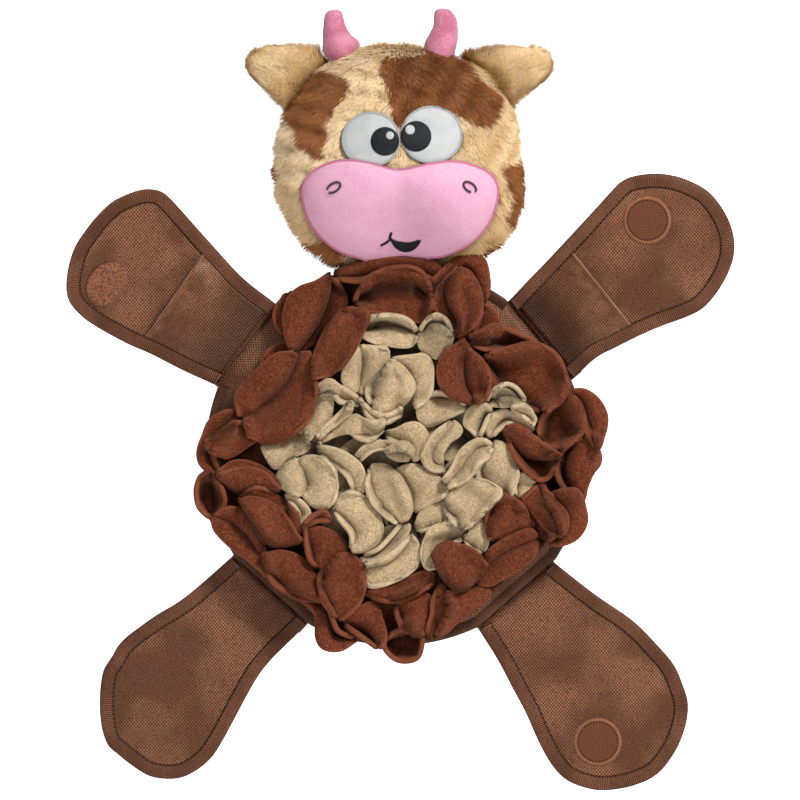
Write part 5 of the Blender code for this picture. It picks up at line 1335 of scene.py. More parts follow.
# Degrees over which the neck's form fades, how squarely a place faces the neck before its seam cuts the
# outline straight, and the rim's height above the hinge there
NECK_SPREAD = 38
NECK_FACING = 0.3
NECK_LIFT = 0.002
DOME_POWER, NECK_POWER = 0.55, 1.25
HEAD_FLOOR, BACK_DEPTH = 0.0004, 1.2


def neckness(azimuths):
    """1 towards the neck seam, 0 away from it."""
    return np.exp(-((((np.asarray(azimuths) - NECK_AZIMUTH) % 360 - 180) / NECK_SPREAD) ** 2))


def head_reach(azimuths):
    """The cloth's outline, which is the photographed outline less the fur that stands out from it."""
    reach = HEAD_RADIUS * around(HEAD_REACH_SHARES, azimuths) - FUR_OUT * (1 - neckness(azimuths))
    down = -np.sin(np.radians(azimuths))
    straight = np.minimum(reach, NECK_REACH / np.maximum(down, NECK_FACING))
    return np.where(down > NECK_FACING, straight, reach)


def head_rim(azimuths):
    """The height of the seam between the head's front and back."""
    return HEAD_RIM + (HINGE_Z + NECK_LIFT - HEAD_RIM) * neckness(azimuths)


def head_dome(azimuths, share):
    """How far the head rises, from 1 in its middle to 0 at its rim, and flatter towards the neck."""
    return np.maximum(0, 1 - share**2) ** (DOME_POWER + (NECK_POWER - DOME_POWER) * neckness(azimuths))


def head_place(azimuths, share, height):
    reach = head_reach(azimuths) * share
    angles = np.radians(azimuths)
    across, along = reach * np.cos(angles), reach * np.sin(angles)
    return np.stack([HEAD_X + across, HEAD_Y + along, height + 0 * angles], axis=-1)


def front_height(azimuths, share):
    rim = head_rim(azimuths)
    return rim + (HEAD_TOP - rim) * head_dome(azimuths, share)


def head_front(azimuths, share):
    return head_place(azimuths, share, front_height(azimuths, share))


def head_back(azimuths, share):
    rim = head_rim(azimuths)
    height = np.maximum(HEAD_FLOOR, rim - rim * BACK_DEPTH * head_dome(azimuths, share))
    return head_place(azimuths, share, height)


def head_point(x, y):
    """The head's front above places, as heights."""
    dx, dy = np.asarray(x) - HEAD_X, np.asarray(y) - HEAD_Y
    azimuths = np.degrees(np.arctan2(dy, dx))
    return front_height(azimuths, np.clip(np.hypot(dx, dy) / head_reach(azimuths), 0, 0.9999))


# The face, in the photograph's pixels
MUZZLE_MIDDLE = (399, 212)
MUZZLE_SHARES = (
    0.785, 0.835, 0.675, 0.487, 0.377, 0.340, 0.377, 0.502, 0.685, 0.815,
    0.774, 0.68, 0.575, 0.487, 0.442, 0.408, 0.429, 0.472, 0.568, 0.681,
)
EYES = {"left": ((371, 140.6), (28.5, 27.0), 0), "right": ((431.4, 135.8), (30.0, 28.2), 0)}
PUPILS = {"left": ((385, 142.4), 14.3), "right": ((416, 137.4), 15.3)}
GLINTS = {"left": ((390, 136.6), 4.0), "right": ((410, 130.8), 4.8)}
NOSTRILS = {"left": ((334, 188.5), (8.2, 4.9), 32), "right": ((469.6, 188), (7.8, 4.9), -35)}
NOSTRIL_STARTS = {"left": 33, "right": 58}
MOUTH = (
    (390, 238.8), (398.2, 241.8), (409.4, 242.9), (420.6, 240.4), (417.6, 246.9), (411.4, 251.4),
    (403.3, 252.4), (396.1, 249), (392, 243.9),
)
MOUTH_LINES = (
    ((391.4, 232.7), (390, 237.8), (392, 241.8)),
    ((380.4, 245.9), (385.9, 242.9), (390.6, 239.2)),
)
BROWN_PATCHES = (
    ((327.8, 73), (342, 76), (351, 80.6), (354, 88), (347, 100), (340, 110), (333, 122), (331.8, 134.7),
     (327.8, 147), (329, 155), (321.6, 158), (311.4, 151), (303.3, 143), (299.2, 132.7), (288, 116.3),
     (288, 106), (292, 96), (301.2, 83.7), (311.4, 76.5), (319.6, 73.5)),
    ((382.9, 67.3), (384.9, 61.2), (395, 59.2), (409.4, 59.2), (419.6, 57.1), (426.7, 50), (438, 48),
     (452.2, 52), (462.4, 59.2), (468.6, 71.4), (474.7, 81.6), (491, 91.8), (496, 102), (494, 114.3),
     (486.9, 124.5), (476.7, 126.5), (464.5, 120.4), (456.3, 116.3), (448, 112), (420, 116), (409, 121),
     (395, 126.5), (392, 114.3), (389, 95.9), (385.9, 85.7), (381.8, 77.6)),
    ((519.6, 143), (523, 152), (522, 165), (529, 180), (530, 192), (527, 203), (518.5, 212),
     (509.4, 227.6), (501.2, 216.3), (505.5, 203), (505.5, 189), (499, 176), (495.5, 168), (504, 164),
     (514, 163)),
    ((268, 164), (276, 162), (283, 168), (284, 178), (276, 182), (266, 176)),
    ((308, 240), (322, 238), (336, 248), (346, 258), (338, 266), (325, 262), (313, 252)),
    ((478, 248), (488, 241), (499, 239), (496, 248), (485, 256)),
)


def inside(points, outline):
    """Whether each point is inside an outline."""
    x, y = points[:, :2].T
    found = np.zeros(len(points), bool)
    for (x1, y1), (x2, y2) in zip(outline, np.roll(outline, -1, axis=0)):
        crosses = (y1 > y) != (y2 > y)
        found ^= crosses & (x < (x2 - x1) * (y - y1) / (y2 - y1 + 1e-15) + x1)
    return found


# The muzzle's puckered low edge: its direction, how far it spreads, and each pucker's depth and number
PUCKER_AZIMUTH, PUCKER_SPREAD, PUCKER, PUCKERS = 268, 42, 0.0007, 14


def muzzle_outline(count, grow=0.0):
    """Places round the muzzle, moved out by grow."""
    azimuths = np.arange(count) * 360 / count
    reach = HEAD_RADIUS * around(MUZZLE_SHARES, azimuths) + grow
    low = np.exp(-(((azimuths - PUCKER_AZIMUTH) / PUCKER_SPREAD) ** 2))
    reach += PUCKER * low * np.sin(np.radians(azimuths * PUCKERS))
    angles = np.radians(azimuths)
    return spot(*MUZZLE_MIDDLE) + np.stack([np.cos(angles), np.sin(angles)], axis=1) * reach[:, None]


def oval(middle, halves, tilt, count, grow=0.0):
    """Places round a tilted oval that is given in the photograph's pixels, moved out by grow."""
    angles = np.arange(count) / count * math.tau
    a, b = (h * PIXEL + grow for h in halves)
    c, s = math.cos(math.radians(tilt)), math.sin(math.radians(tilt))
    x, y = a * np.cos(angles), b * np.sin(angles)
    return spot(*middle) + np.stack([x * c - y * s, x * s + y * c], axis=1)


# How much more the muzzle's low end stands out, over what length, and how it grows
MUZZLE_PUFF, MUZZLE_PUFF_REACH, MUZZLE_PUFF_POWER = 0.0060, 0.024, 1.4


def face_height(x, y, lift):
    """Height of the face's cloth: a lift above the head, and more where the muzzle's low end stands out."""
    low = np.clip((spot(*MUZZLE_MIDDLE)[1] - y) / MUZZLE_PUFF_REACH, 0, 1)
    return head_point(x, y) + lift + (MUZZLE_PUFF * low**MUZZLE_PUFF_POWER if lift > 0 else 0)


def face_patch(name, outline, levels, material, node):
    """A patch of cloth on the face: rings of its outline drawn in, each at a height above the head."""
    middle = outline.mean(axis=0)
    rings = []
    for share, lift in levels:
        xy = middle + (outline - middle) * share
        rings.append(np.concatenate([xy, face_height(xy[:, 0], xy[:, 1], lift)[:, None]], axis=1))
    piece = ring_object(name, np.array(rings), material)
    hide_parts(node)
    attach(piece, "head")
    return piece


CORD_SIDES = 10
CORD_FLATTEN = 0.6
CORD_END = 0.4


def face_cord(name, line, radius, material, lift, closed=True, node=None):
    """A raised stitched line on the face: along a line of places, at a lift above the head."""
    line = np.asarray(line)
    if closed:
        ahead, behind = np.roll(line, -1, axis=0), np.roll(line, 1, axis=0)
    else:
        ahead = np.concatenate([line[1:], 2 * line[-1:] - line[-2:-1]])
        behind = np.concatenate([2 * line[:1] - line[1:2], line[:-1]])
    way = unit(ahead - behind)
    side = np.stack([way[:, 1], -way[:, 0]], axis=1)
    along = run_along(line)
    radii = np.full(len(line), radius)
    if not closed:
        radii[[0, -1]] *= CORD_END
    sections, flats = [], []
    for angle in np.arange(CORD_SIDES) / CORD_SIDES * math.tau:
        xy = line + side * (math.cos(angle) * radii)[:, None]
        height = face_height(line[:, 0], line[:, 1], lift) + math.sin(angle) * radii * CORD_FLATTEN
        sections.append(np.concatenate([xy, height[:, None]], axis=1))
        flats.append(np.stack([along, np.full(len(line), angle * radius), 0 * along], axis=1))
    piece = tube(name, np.stack(sections, axis=1), material, np.stack(flats, axis=1), closed=closed)
    if node:
        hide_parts(node)
    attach(piece, "head")


# Each patch's rings: a share of its outline, and the height above the head
MUZZLE_LEVELS = (
    (1.0, -0.001), (1.0, 0.0042), (0.985, 0.0054), (0.95, 0.0064), (0.90, 0.0070), (0.8, 0.0075),
    (0.65, 0.0077), (0.5, 0.0078), (0.35, 0.0078), (0.2, 0.0078), (0.06, 0.0078),
)
EYE_LEVELS = (
    (1.0, -0.001), (1.0, 0.0030), (0.975, 0.0040), (0.93, 0.0044), (0.8, 0.0046), (0.5, 0.0047),
    (0.1, 0.0047),
)
PUPIL_LEVELS = ((1.0, 0.003), (1.0, 0.0049), (0.96, 0.0053), (0.8, 0.0055), (0.4, 0.0056), (0.1, 0.0056))
GLINT_LEVELS = ((1.0, 0.005), (1.0, 0.0057), (0.9, 0.0060), (0.4, 0.0061), (0.1, 0.0061))
MOUTH_LEVELS = ((1.0, 0.006), (1.0, 0.0081), (0.95, 0.0085), (0.5, 0.0086), (0.1, 0.0086))
# Each stitched line: how far its outline is drawn in, its radius, and its height above the head
MUZZLE_BORDER = (0.0004, 0.0010, 0.0050)
EYE_BORDER = (0.0003, 0.0008, 0.0040)
NOSTRIL_LINE = (0.0004, 0.00060, 0.0080)
MOUTH_CORNER_RADIUS, MOUTH_CORNER_LIFT = 0.0008, 0.0081
# Points round each outline
MUZZLE_POINTS, MUZZLE_BORDER_POINTS, EYE_POINTS, EYE_BORDER_POINTS = 120, 400, 64, 220
PUPIL_POINTS, GLINT_POINTS, MOUTH_POINTS, CORNER_POINTS = 48, 24, 90, 16
NOSTRIL_POINTS, NOSTRIL_SHOWN = 60, 54


def build_face():
    """The muzzle, the eyes, the nostrils and the mouth."""
    outline = muzzle_outline(MUZZLE_POINTS)
    muzzle = face_patch("muzzle_cloth", outline, MUZZLE_LEVELS, PINK, "muzzle")
    inset, thick, lift = MUZZLE_BORDER
    outline = muzzle_outline(MUZZLE_BORDER_POINTS, -inset)
    face_cord("muzzle_border", outline, thick, PINK_THREAD, lift)
    for side, eye in EYES.items():
        felt = oval(*eye, EYE_POINTS)
        face_patch(f"{side}_eye_felt", felt, EYE_LEVELS, FELT, f"{side}_eye_white")
        inset, thick, lift = EYE_BORDER
        ring = oval(*eye, EYE_BORDER_POINTS, -inset)
        face_cord(f"{side}_eye_border", ring, thick, GREY_THREAD, lift)
        middle, radius = PUPILS[side]
        disc = oval(middle, (radius, radius), 0, PUPIL_POINTS)
        face_patch(f"{side}_pupil_disc", disc, PUPIL_LEVELS, BLACK, f"{side}_pupil")
        middle, radius = GLINTS[side]
        disc = oval(middle, (radius, radius), 0, GLINT_POINTS)
        face_patch(f"{side}_glint_disc", disc, GLINT_LEVELS, FELT, f"{side}_glint")
        inset, thick, lift = NOSTRIL_LINE
        ring = np.roll(oval(*NOSTRILS[side], NOSTRIL_POINTS, -inset), -NOSTRIL_STARTS[side], axis=0)
        face_cord(
            f"{side}_nostril_line", ring[:NOSTRIL_SHOWN], thick, BLACK_THREAD, lift,
            closed=False, node=f"{side}_nostril",
        )
    outline = closed_line(MOUTH, MOUTH_POINTS)
    face_patch("mouth_line", outline[::-1], MOUTH_LEVELS, BLACK, "mouth")
    for k, line in enumerate(MOUTH_LINES):
        points = smooth_line(spots(line), np.linspace(0, 1, CORNER_POINTS))
        face_cord(
            f"mouth_corner_{k}", points, MOUTH_CORNER_RADIUS, BLACK, MOUTH_CORNER_LIFT,
            closed=False,
        )


# Fur

# Colours of the plush, how far a patch's colour strays over its edge, how much paler painted light makes
# the fur on the left and from where, and how much deeper lower down and over what length
GOLD = (0.67, 0.44, 0.19)
GOLD_LIGHT = (0.88, 0.68, 0.42)
GOLD_DEEP = (0.62, 0.37, 0.14)
PATCH_BROWN = (0.185, 0.062, 0.020)
PATCH_LIGHT = (0.34, 0.130, 0.046)
PATCH_STRAY = 0.0007
PATCH_POINTS = 60
PAINTED_LEFT_LIGHT, PAINTED_LEFT_LIGHT_REACH = 0.75, 0.05
DEEPER, DEEPER_REACH = 0.55, 0.055
COLOUR_LENGTH, COLOUR_RANDOM = 0.007, 0.22


# A strand's width, how straight it rises, and at each station along it: how far it has risen, how far it
# has gone the way it is combed, and its share of the width
STRAND_WIDTH = 0.00034
LEAST_SIDE, LEAST_COMB = 1e-9, 1e-6
STRAND_RISE = 0.75
STRAND_STEPS = ((0.0, 0.0, 1.0), (0.42, 0.26, 0.95), (0.72, 0.62, 0.75), (0.86, 1.0, 0.12))
# A strand's brightness at its root, and what its tip adds
ROOT_BRIGHT, TIP_BRIGHTER = 0.66, 0.40


def strands(name, roots, normals, combs, lengths, colours, body):
    """Fur as thin tapering ribbons that rise from their roots and bend the way they are combed."""
    count = len(roots)
    side = unit(np.cross(normals, combs), LEAST_SIDE)
    stations = len(STRAND_STEPS)
    points = np.empty((count, stations, 2, 3))
    tints = np.empty((count, stations, 2, 4))
    for k, (up, out, wide) in enumerate(STRAND_STEPS):
        middle = roots + normals * (lengths * up)[:, None] * STRAND_RISE + combs * (lengths * out)[:, None]
        for j, way in enumerate((-0.5, 0.5)):
            points[:, k, j] = middle + side * (STRAND_WIDTH * wide * way)
            tints[:, k, j, :3] = colours * (ROOT_BRIGHT + TIP_BRIGHTER * min(1, k / 2))
            tints[:, k, j, 3] = 1
    base = np.arange(count)[:, None] * stations * 2
    faces = np.concatenate([base + k * 2 + np.array([0, 1, 3, 2]) for k in range(stations - 1)])
    mesh = bpy.data.meshes.new(name)
    mesh.vertices.add(count * stations * 2)
    mesh.vertices.foreach_set("co", points.astype(np.float32).ravel())
    mesh.loops.add(faces.size)
    mesh.loops.foreach_set("vertex_index", faces.astype(np.int32).ravel())
    mesh.polygons.add(len(faces))
    mesh.polygons.foreach_set("loop_start", np.arange(len(faces), dtype=np.int32) * 4)
    point_values(mesh, "tint", "FLOAT_COLOR", "color", tints)
    mesh.update()
    mesh.validate()
    made = smooth_object(name, mesh, FUR)
    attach(made, body)


def laid_down(comb, normals):
    """Directions along the cloth, one long, from directions that may lead off it."""
    return unit(comb - normals * (comb * normals).sum(axis=1)[:, None], LEAST_COMB)


def mixed(one, other, share):
    """A colour for each strand: one where its share is 0, the other where it is 1."""
    return np.asarray(one) * (1 - share) + np.asarray(other) * share


def fur_colours(roots, seed):
    """Each strand's colour: golden with lighter and deeper parts, or brown inside a patch."""
    made = np.random.default_rng(seed)
    places = roots[:, :2] + made.normal(0, PATCH_STRAY, (len(roots), 2))
    brown = np.zeros(len(roots), bool)
    for patch in BROWN_PATCHES:
        brown |= inside(places, closed_line(patch, PATCH_POINTS))
    # Painted light: the fur on the left is made paler, where less of the lamp's light falls on it
    painted_left_light = PAINTED_LEFT_LIGHT * np.clip((HEAD_X - roots[:, 0]) / PAINTED_LEFT_LIGHT_REACH, 0, 1)
    mix = waves(roots, COLOUR_LENGTH, seed) * 0.5 + 0.5 + painted_left_light + made.normal(0, COLOUR_RANDOM, len(roots))
    mix = np.clip(mix, 0, 1)[:, None]
    low = np.clip((HEAD_Y - roots[:, 1]) / DEEPER_REACH, 0, 1)[:, None]
    gold = mixed(GOLD, GOLD_LIGHT, mix)
    gold = gold * (1 - DEEPER * low) + np.array(GOLD_DEEP) * DEEPER * low
    return np.where(brown[:, None], mixed(PATCH_BROWN, PATCH_LIGHT, mix), gold)


HEAD_STRANDS = 118000
HEAD_FUR_NAMES = ("head_fur_one", "head_fur_two", "head_fur_three", "head_fur_four")
# A strand's length, how that varies by place and by strand, where along it the colour is looked up, and
# the width at the head's rim where the strands turn outwards
FUR_LENGTH, LENGTH_VARY, LENGTH_RANDOM = 0.0056, 0.28, (0.75, 1.12)
FUR_SEEN_SHARE = 0.35
FUR_EDGE = 0.004
# The share of the strands that are on the back, and where the cloth is bare: low down behind, and near
# the neck seam
BACK_FUR, BARE_HEIGHT, BARE_NECK = 0.24, 0.0012, 0.86
# The way the fur is combed: sideways with the distance from the middle, down and less so higher up, and
# into the cloth, with broad sweeps and small tufts, each with its length and strength, and at random
COMB_SIDE, COMB_DOWN, COMB_DOWN_LESS, COMB_SINK, COMB_OUT = 1.1, -0.95, 0.15, -0.2, 1.2
SWEEP_LENGTH, SWEEP, TUFT_LENGTH, TUFT, COMB_RANDOM = 0.016, 0.22, 0.0042, 0.30, 0.08
# Where up the head, in its radii, the strands at the rim stop turning outwards and where they get shorter
OUT_BELOW, OUT_FADE = 0.55, 0.4
SHORT_ABOVE, SHORT_FADE, SHORT_BY = 0.72, 0.2, 0.5
# Shares of its length to which a strand is cut short of the face, and how steeply it is taken to rise
TRIMS, TRIM_RISE = (1.0, 0.7, 0.45, 0.25), 0.6
# How the fur gets shorter at the neck, and how a strand that would go into the ground is cut: how it is
# taken to rise, how far it may go down, and the least that is left
NECK_SHORT_FROM, NECK_SHORT_LEAST, NECKNESS_POWER = 1.25, 0.3, 3
GROUND_RISE, GROUND_DEPTH, GROUND_LEAST = 0.65, 0.0002, 0.05
NORMAL_STEP, NORMAL_TURN = 0.004, 0.5
# The face's outlines for the trimming: the points and how far inside, for the muzzle and the eyes
MUZZLE_TRIM, EYE_TRIM = (90, -0.0010), (40, -0.0008)
HEAD_FUR_SEED, FUR_COLOUR_SEED, SWEEP_SEEDS, TUFT_SEEDS, LENGTH_SEED = 21, 31, (5, 6), (7, 8), 9


def head_normals(maker, azimuths, share):
    """Unit normals of the head's front or back, facing out of it."""
    outer, inner = np.minimum(share + NORMAL_STEP, 1.0), np.maximum(share - NORMAL_STEP, 0)
    radial = maker(azimuths, outer) - maker(azimuths, inner)
    around_it = maker(azimuths + NORMAL_TURN, share) - maker(azimuths - NORMAL_TURN, share)
    normals = np.cross(radial, around_it)
    if maker is head_back:
        normals = -normals
    return unit(normals, LEAST_NORMAL)


def trim(roots, normals, comb, lengths, outlines):
    """Shortens the strands that would lie over a patch of the face. Those left at 0 are dropped."""
    kept = np.zeros(len(roots))
    left = np.ones(len(roots), bool)
    for share in TRIMS:
        tips = roots + (normals * TRIM_RISE + comb) * (lengths * share)[:, None]
        covered = np.zeros(len(roots), bool)
        for outline in outlines:
            covered |= inside(tips[:, :2], outline)
        kept[left & ~covered] = share
        left &= covered
    return kept


HEAD_STEP = 4.0
FRONT_SHARES = (0.02, 0.15, 0.3, 0.45, 0.58, 0.7, 0.8, 0.88, 0.94, 0.98, 1.0)
BACK_SHARES = (0.98, 0.94, 0.87, 0.75, 0.6, 0.4, 0.2, 0.02)


def build_head():
    """The head's cloth, front and back, and its fur."""
    azimuths = np.arange(0, 360, HEAD_STEP)
    grid = [head_front(azimuths, s) for s in FRONT_SHARES] + [head_back(azimuths, s) for s in BACK_SHARES]
    head = ring_object("head_plush", np.array(grid), GOLD_BASE, flip=True)
    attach(head, "head")
    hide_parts("head_front_panel", "head_back_panel", "head_stuffing")
    build_head_fur()


def build_head_fur():
    """Strands over the head's front and back, combed downwards and outwards at its sides."""
    made = np.random.default_rng(HEAD_FUR_SEED)
    share = np.sqrt(made.uniform(0, 1, HEAD_STRANDS))
    azimuth = made.uniform(0, 360, HEAD_STRANDS)
    back = made.uniform(0, 1, HEAD_STRANDS) < BACK_FUR
    roots = np.where(back[:, None], head_back(azimuth, share), head_front(azimuth, share))
    normals = np.where(
        back[:, None], head_normals(head_back, azimuth, share), head_normals(head_front, azimuth, share)
    )
    outlines = [muzzle_outline(*MUZZLE_TRIM), *(oval(*eye, *EYE_TRIM) for eye in EYES.values())]
    keep = np.ones(HEAD_STRANDS, bool)
    for outline in outlines:
        keep &= back | ~inside(roots[:, :2], outline)
    keep &= ~(back & (roots[:, 2] < BARE_HEIGHT))
    keep &= neckness(azimuth) * share < BARE_NECK
    roots, normals, back = roots[keep], normals[keep], back[keep]

    place = (roots[:, :2] - HEAD_MIDDLE) / HEAD_RADIUS
    broad = np.stack([waves(roots, SWEEP_LENGTH, seed) for seed in SWEEP_SEEDS], axis=1) * SWEEP
    tufts = np.stack([waves(roots, TUFT_LENGTH, seed) for seed in TUFT_SEEDS], axis=1) * TUFT
    even = np.stack([place[:, 0] * COMB_SIDE, COMB_DOWN + place[:, 1] * COMB_DOWN_LESS], axis=1)
    comb = np.full((len(roots), 3), COMB_SINK)
    for axis in (0, 1):
        stray = made.normal(0, COMB_RANDOM, len(roots))
        comb[:, axis] = even[:, axis] + broad[:, axis] + tufts[:, axis] + stray
    reach = np.linalg.norm(place, axis=1) * HEAD_RADIUS - head_reach(azimuth[keep])
    low = np.clip((OUT_BELOW - place[:, 1]) / OUT_FADE, 0, 1)
    edge = (np.clip(1 + (reach + FUR_EDGE) / FUR_EDGE, 0, 1) * low)[:, None]
    comb[:, :2] = comb[:, :2] * (1 - edge) + place * COMB_OUT * edge
    comb = laid_down(comb, normals)
    vary = 1 + LENGTH_VARY * waves(roots, COLOUR_LENGTH, LENGTH_SEED)
    lengths = FUR_LENGTH * vary * made.uniform(*LENGTH_RANDOM, len(roots))
    kept = trim(roots, normals, comb, lengths, outlines)
    kept[back] = 1.0
    lengths = lengths * kept * np.clip(NECK_SHORT_FROM - neckness_of(roots), NECK_SHORT_LEAST, 1)
    lengths *= 1 - SHORT_BY * np.clip((place[:, 1] - SHORT_ABOVE) / SHORT_FADE, 0, 1)
    # A strand may not go into the ground
    drop = np.maximum(-(normals[:, 2] * GROUND_RISE + comb[:, 2]) * lengths, 1e-6)
    lengths *= np.clip((roots[:, 2] - GROUND_DEPTH) / drop, GROUND_LEAST, 1)
    colours = fur_colours(roots + comb * (lengths * FUR_SEEN_SHARE)[:, None], FUR_COLOUR_SEED)
    for k, name in enumerate(HEAD_FUR_NAMES):
        chosen = (np.arange(len(roots)) % len(HEAD_FUR_NAMES) == k) & (kept > 0)
        strands(name, roots[chosen], normals[chosen], comb[chosen], lengths[chosen], colours[chosen], "head")


def neckness_of(points):
    """How near each point is to the neck seam, from 0 to 1."""
    place = points[:, :2] - HEAD_MIDDLE
    azimuths = np.degrees(np.arctan2(place[:, 1], place[:, 0]))
    outwards = np.clip(np.linalg.norm(place, axis=1) / HEAD_RADIUS, 0, 1)
    return neckness(azimuths) * outwards**NECKNESS_POWER


# Horns from base to tip: the middle in the photograph's pixels, and the radius in metres
HORNS = {
    "left": (
        (347, 65, 0.0075), (340.8, 53, 0.0094), (341.2, 43, 0.0100), (336.9, 34.7, 0.0077),
        (334.7, 26.5, 0.0061), (333.9, 18.4, 0.0053), (334.2, 13, 0.0043), (334.3, 10.8, 0.0028),
        (334.4, 10, 0.0006),
    ),
    "right": (
        (438, 58, 0.0085), (441, 43, 0.0088), (443.6, 34.7, 0.0079), (445.4, 26.5, 0.0067),
        (444.9, 18.4, 0.0061), (443.2, 12, 0.0047), (442.6, 9.5, 0.0030), (442.4, 8.6, 0.0006),
    ),
}
HORN_HEIGHT = 0.027
HORN_STATIONS = 40
HORN_SIDES = 28
HORN_SPACING = 1.6


def build_horns():
    """The two velvet horns."""
    shares = 1 - (1 - np.linspace(0, 1, HORN_STATIONS)) ** HORN_SPACING
    for side, path in HORNS.items():
        sections = smooth_line([(*spot(px, py), radius) for px, py, radius in path], shares)
        angles = np.arange(HORN_SIDES) / HORN_SIDES * math.tau
        rings = []
        for x, y, radius in sections:
            across, up = np.cos(angles) * radius, np.sin(angles) * radius
            rings.append(np.stack([x + across, y + 0 * across, HORN_HEIGHT + up], axis=1))
        piece = tube(f"{side}_horn_cloth", np.array(rings), HORN_PINK)
        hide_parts(f"{side}_horn")
        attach(piece, "head")


# The ears with their fur, in the photograph's pixels, from the root's upper end round to it again
EARS = {
    "left": (
        (323.6, 47), (301, 43.9), (281, 43.3), (264.5, 44), (252, 50), (244, 59), (243, 67.3), (248, 78.6),
        (262.4, 91.8), (272.7, 100), (282, 107), (305, 112), (330, 80),
    ),
    "right": (
        (460.4, 54), (474.7, 49), (493, 45.3), (521.6, 44.5), (540, 46), (552, 53.5), (556, 69), (554, 76.5),
        (544, 86), (530, 96), (519.6, 103), (515.5, 105), (490, 112), (462, 84),
    ),
}
EAR_SEAM_GAP = 0.0006
EAR_FREE_REACH = 0.007
EAR_HALF = 0.0046
EAR_BLUNT = 2.4
EAR_POINTS = 80
EAR_SEED = 40
EAR_EDGE_HALF = 0.0006
EAR_FUR_OUT = 0.0026
EAR_STRANDS = 15000
EAR_FUR_LENGTH, EAR_LENGTH_RANDOM = 0.0042, (0.7, 1.15)
# The share of the strands on the upper face, the way they are combed (out from the ear's middle, away
# from the head, at random, and in tufts with their length), and how far from the head the painted shade
# reaches, which makes the fur deeper gold at the ear's root
EAR_UPPER_FUR = 0.68
EAR_COMB_OUT, EAR_COMB_AWAY, EAR_COMB_RANDOM, EAR_TUFT, EAR_TUFT_LENGTH = 0.35, 0.8, 0.12, 0.35, 0.004
EAR_ROOT_SHADE_REACH = 0.016
EAR_MIX, EAR_MIX_RANDOM, EAR_MIX_LENGTH = 0.4, 0.16, 0.006
EAR_SHARES = (1.0, 0.97, 0.9, 0.8, 0.65, 0.45, 0.25, 0.05)


def ear_half(share):
    """Half an ear's thickness at a share of the way from its middle to its edge."""
    return EAR_HALF * np.sqrt(np.maximum(0, 1 - np.asarray(share) ** EAR_BLUNT)) + EAR_EDGE_HALF


def beyond_head(points):
    """How far places are beyond the head's seam."""
    away = points - HEAD_MIDDLE
    return np.linalg.norm(away, axis=1) - head_reach(np.degrees(np.arctan2(away[:, 1], away[:, 0])))


def clear_of_head(points):
    """Places, moved outwards from the head's middle where they are nearer than its seam."""
    away = points - HEAD_MIDDLE
    missing = np.maximum(0, EAR_SEAM_GAP - beyond_head(points))
    return points + away * (missing / np.linalg.norm(away, axis=1))[:, None]


def build_ears():
    """The two ears, their seams just outside the head's."""
    for side, outline in EARS.items():
        rim = closed_line(outline, EAR_POINTS)
        middle = rim.mean(axis=0)
        way = rim - middle
        free = np.clip(beyond_head(rim) / EAR_FREE_REACH, 0, 1)
        rim = middle + way * (1 - EAR_FUR_OUT * free / np.linalg.norm(way, axis=1))[:, None]
        rim = clear_of_head(rim)
        middle = rim.mean(axis=0)
        upper, lower = [], []
        for share in EAR_SHARES:
            xy = middle + (rim - middle) * share
            for rings, sign in ((upper, 1), (lower, -1)):
                z = np.full((len(xy), 1), HEAD_RIM + sign * ear_half(share))
                rings.append(np.concatenate([xy, z], axis=1))
        grid = np.array(upper[::-1] + lower)
        rows, columns = grid.shape[:2]
        clockwise = side == "left"
        faces = grid_faces(rows, columns, ring=True, flip=not clockwise)
        faces += [list(range(columns)), [(rows - 1) * columns + c for c in range(columns)][::-1]]
        ear = mesh_object(f"{side}_ear_plush", grid.reshape(-1, 3), faces, GOLD_BASE)
        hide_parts(f"{side}_ear")
        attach(ear, f"{side}_ear")
        build_ear_fur(side, rim, middle)


def build_ear_fur(side, rim, middle):
    """Strands over both faces and the edge of an ear, combed from the head to the tip."""
    made = np.random.default_rng(EAR_SEED + len(side))
    share = np.sqrt(made.uniform(0, 1, EAR_STRANDS))
    place = made.integers(0, len(rim), EAR_STRANDS)
    xy = middle + (rim[place] - middle) * share[:, None]
    up = np.where(made.uniform(0, 1, EAR_STRANDS) < EAR_UPPER_FUR, 1.0, -1.0)
    roots = np.concatenate([xy, (HEAD_RIM + up * ear_half(share))[:, None]], axis=1)
    way = unit(rim[place] - middle)
    level = np.zeros((EAR_STRANDS, 1))
    outwards = np.concatenate([way, level], axis=1)
    away = middle - HEAD_MIDDLE
    away = np.append(away / np.linalg.norm(away), 0)
    normals = outwards * (0.9 * share**2)[:, None] + (up * (1.05 - share**2))[:, None] * np.array([0, 0, 1])
    normals = unit(normals)
    comb = outwards * EAR_COMB_OUT + away * EAR_COMB_AWAY + made.normal(0, EAR_COMB_RANDOM, (EAR_STRANDS, 3))
    tufts = [waves(roots, EAR_TUFT_LENGTH, seed) for seed in (3, 4)]
    comb += EAR_TUFT * np.stack([*tufts, 0 * share], axis=1)
    comb = laid_down(comb, normals)
    lengths = EAR_FUR_LENGTH * made.uniform(*EAR_LENGTH_RANDOM, EAR_STRANDS)
    near = np.linalg.norm(roots[:, :2] - HEAD_MIDDLE, axis=1)
    # Painted shade: the fur is deeper gold near the head, where the ear's folded root lies in shade
    far = np.clip((near - near.min()) / EAR_ROOT_SHADE_REACH, 0, 1)[:, None]
    mix = EAR_MIX * waves(roots, EAR_MIX_LENGTH, 9)
    mix = np.clip(0.5 + mix + made.normal(0, EAR_MIX_RANDOM, EAR_STRANDS), 0, 1)[:, None]
    colours = mixed(GOLD_DEEP, mixed(GOLD, GOLD_LIGHT, mix), far)
    strands(f"{side}_ear_fur", roots, normals, comb, lengths, colours, f"{side}_ear")


# Floor, lights and camera

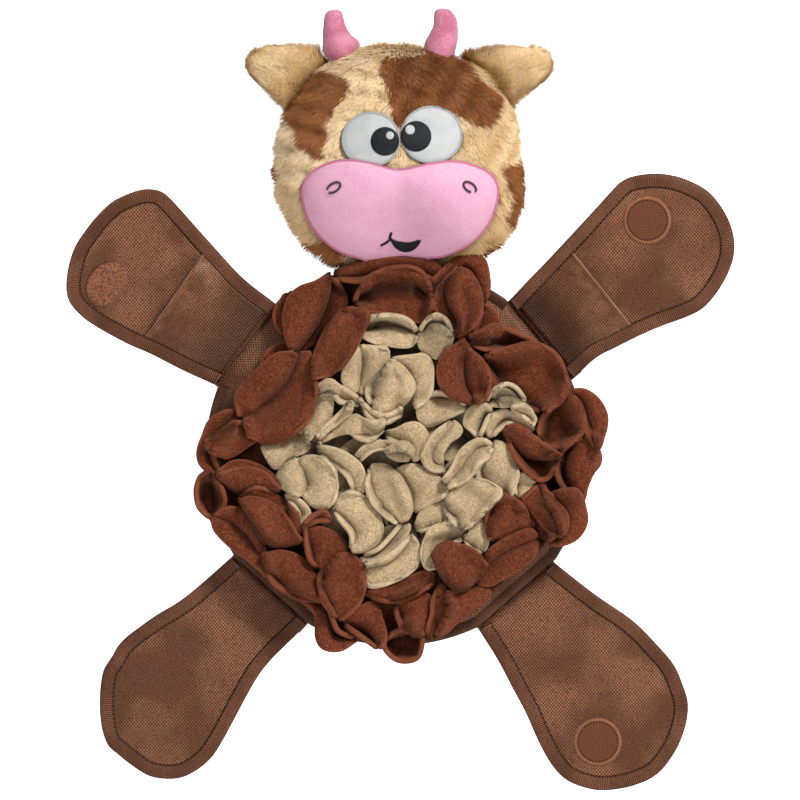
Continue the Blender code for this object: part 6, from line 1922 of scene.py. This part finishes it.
FLOOR_HALF, FLOOR_HEIGHT = 3, -0.0006
FLOOR_SHADE = 0.55
WORLD_STRENGTH = 0.58
LIGHT_AIM = (0, 0.03, 0)
# Each light: its place, size and power
LIGHTS = {
    "key": ((0.80, 1.10, 1.25), 0.40, 29),
    "fill": ((0.15, -1.30, 1.15), 1.0, 12),
}
CAMERA_DISTANCE = 12.0
CAMERA_AIM_HEIGHT = 0.012
SENSOR_WIDTH = 36
CLIP_END = 40


def build_stage():
    """White paper that the camera sees as plain white, the lights, and the camera above the toy."""
    paper = Paint("floor_paper", 0.9)
    seen = paper.add("ShaderNodeLightPath", {}).node.outputs["Is Camera Ray"]
    shade = paper.blend(seen, (FLOOR_SHADE, FLOOR_SHADE, FLOOR_SHADE), WHITE)
    paper.finish(shade)
    paper.tree.links.new(shade, paper.shader.inputs["Emission Color"])
    paper.tree.links.new(seen, paper.shader.inputs["Emission Strength"])
    ways = ((-1, -1), (1, -1), (1, 1), (-1, 1))
    corners = [(x * FLOOR_HALF, y * FLOOR_HALF, FLOOR_HEIGHT) for x, y in ways]
    floor = mesh_object("floor", corners, [(0, 1, 2, 3)], paper.material)
    world = bpy.data.worlds.new("studio")
    bpy.context.scene.world = world
    world.use_nodes = True
    world.node_tree.nodes["Background"].inputs["Color"].default_value = (1, 1, 1, 1)
    world.node_tree.nodes["Background"].inputs["Strength"].default_value = WORLD_STRENGTH

    for name, (place, size, power) in LIGHTS.items():
        data = bpy.data.lights.new(name, "AREA")
        data.shape = "DISK"
        data.size = size
        data.energy = power
        lamp = bpy.data.objects.new(name, data)
        lamp.location = place
        lamp.rotation_euler = (Vector(LIGHT_AIM) - Vector(place)).to_track_quat("-Z", "Y").to_euler()
        bpy.context.scene.collection.objects.link(lamp)

    data = bpy.data.cameras.new("camera")
    data.sensor_width = SENSOR_WIDTH
    data.lens = SENSOR_WIDTH * CAMERA_DISTANCE / (PHOTO_PIXELS * PIXEL)
    data.clip_end = CLIP_END
    camera = bpy.data.objects.new("camera", data)
    middle = spot(PHOTO_PIXELS / 2, PHOTO_PIXELS / 2)
    camera.location = (middle[0], middle[1], CAMERA_DISTANCE + CAMERA_AIM_HEIGHT)
    bpy.context.scene.collection.objects.link(camera)
    bpy.context.scene.camera = camera
    bpy.context.scene.view_settings.view_transform = "Standard"
    bpy.context.scene.view_settings.look = "None"


build_stage()
build_mat()
legs = {name: Leg(name, LEG_SEED + LEG_SEED_STEP * k) for k, name in enumerate(LEG_AZIMUTHS)}
for leg in legs.values():
    build_leg(leg)
    build_seam(leg)
build_pocket(legs["front_left"])
build_pocket(legs["front_right"])
for name, (leg, pixel, face) in COINS.items():
    build_coin(name, legs[leg], pixel, face)
build_petals()
build_head()
build_face()
build_horns()
build_ears()
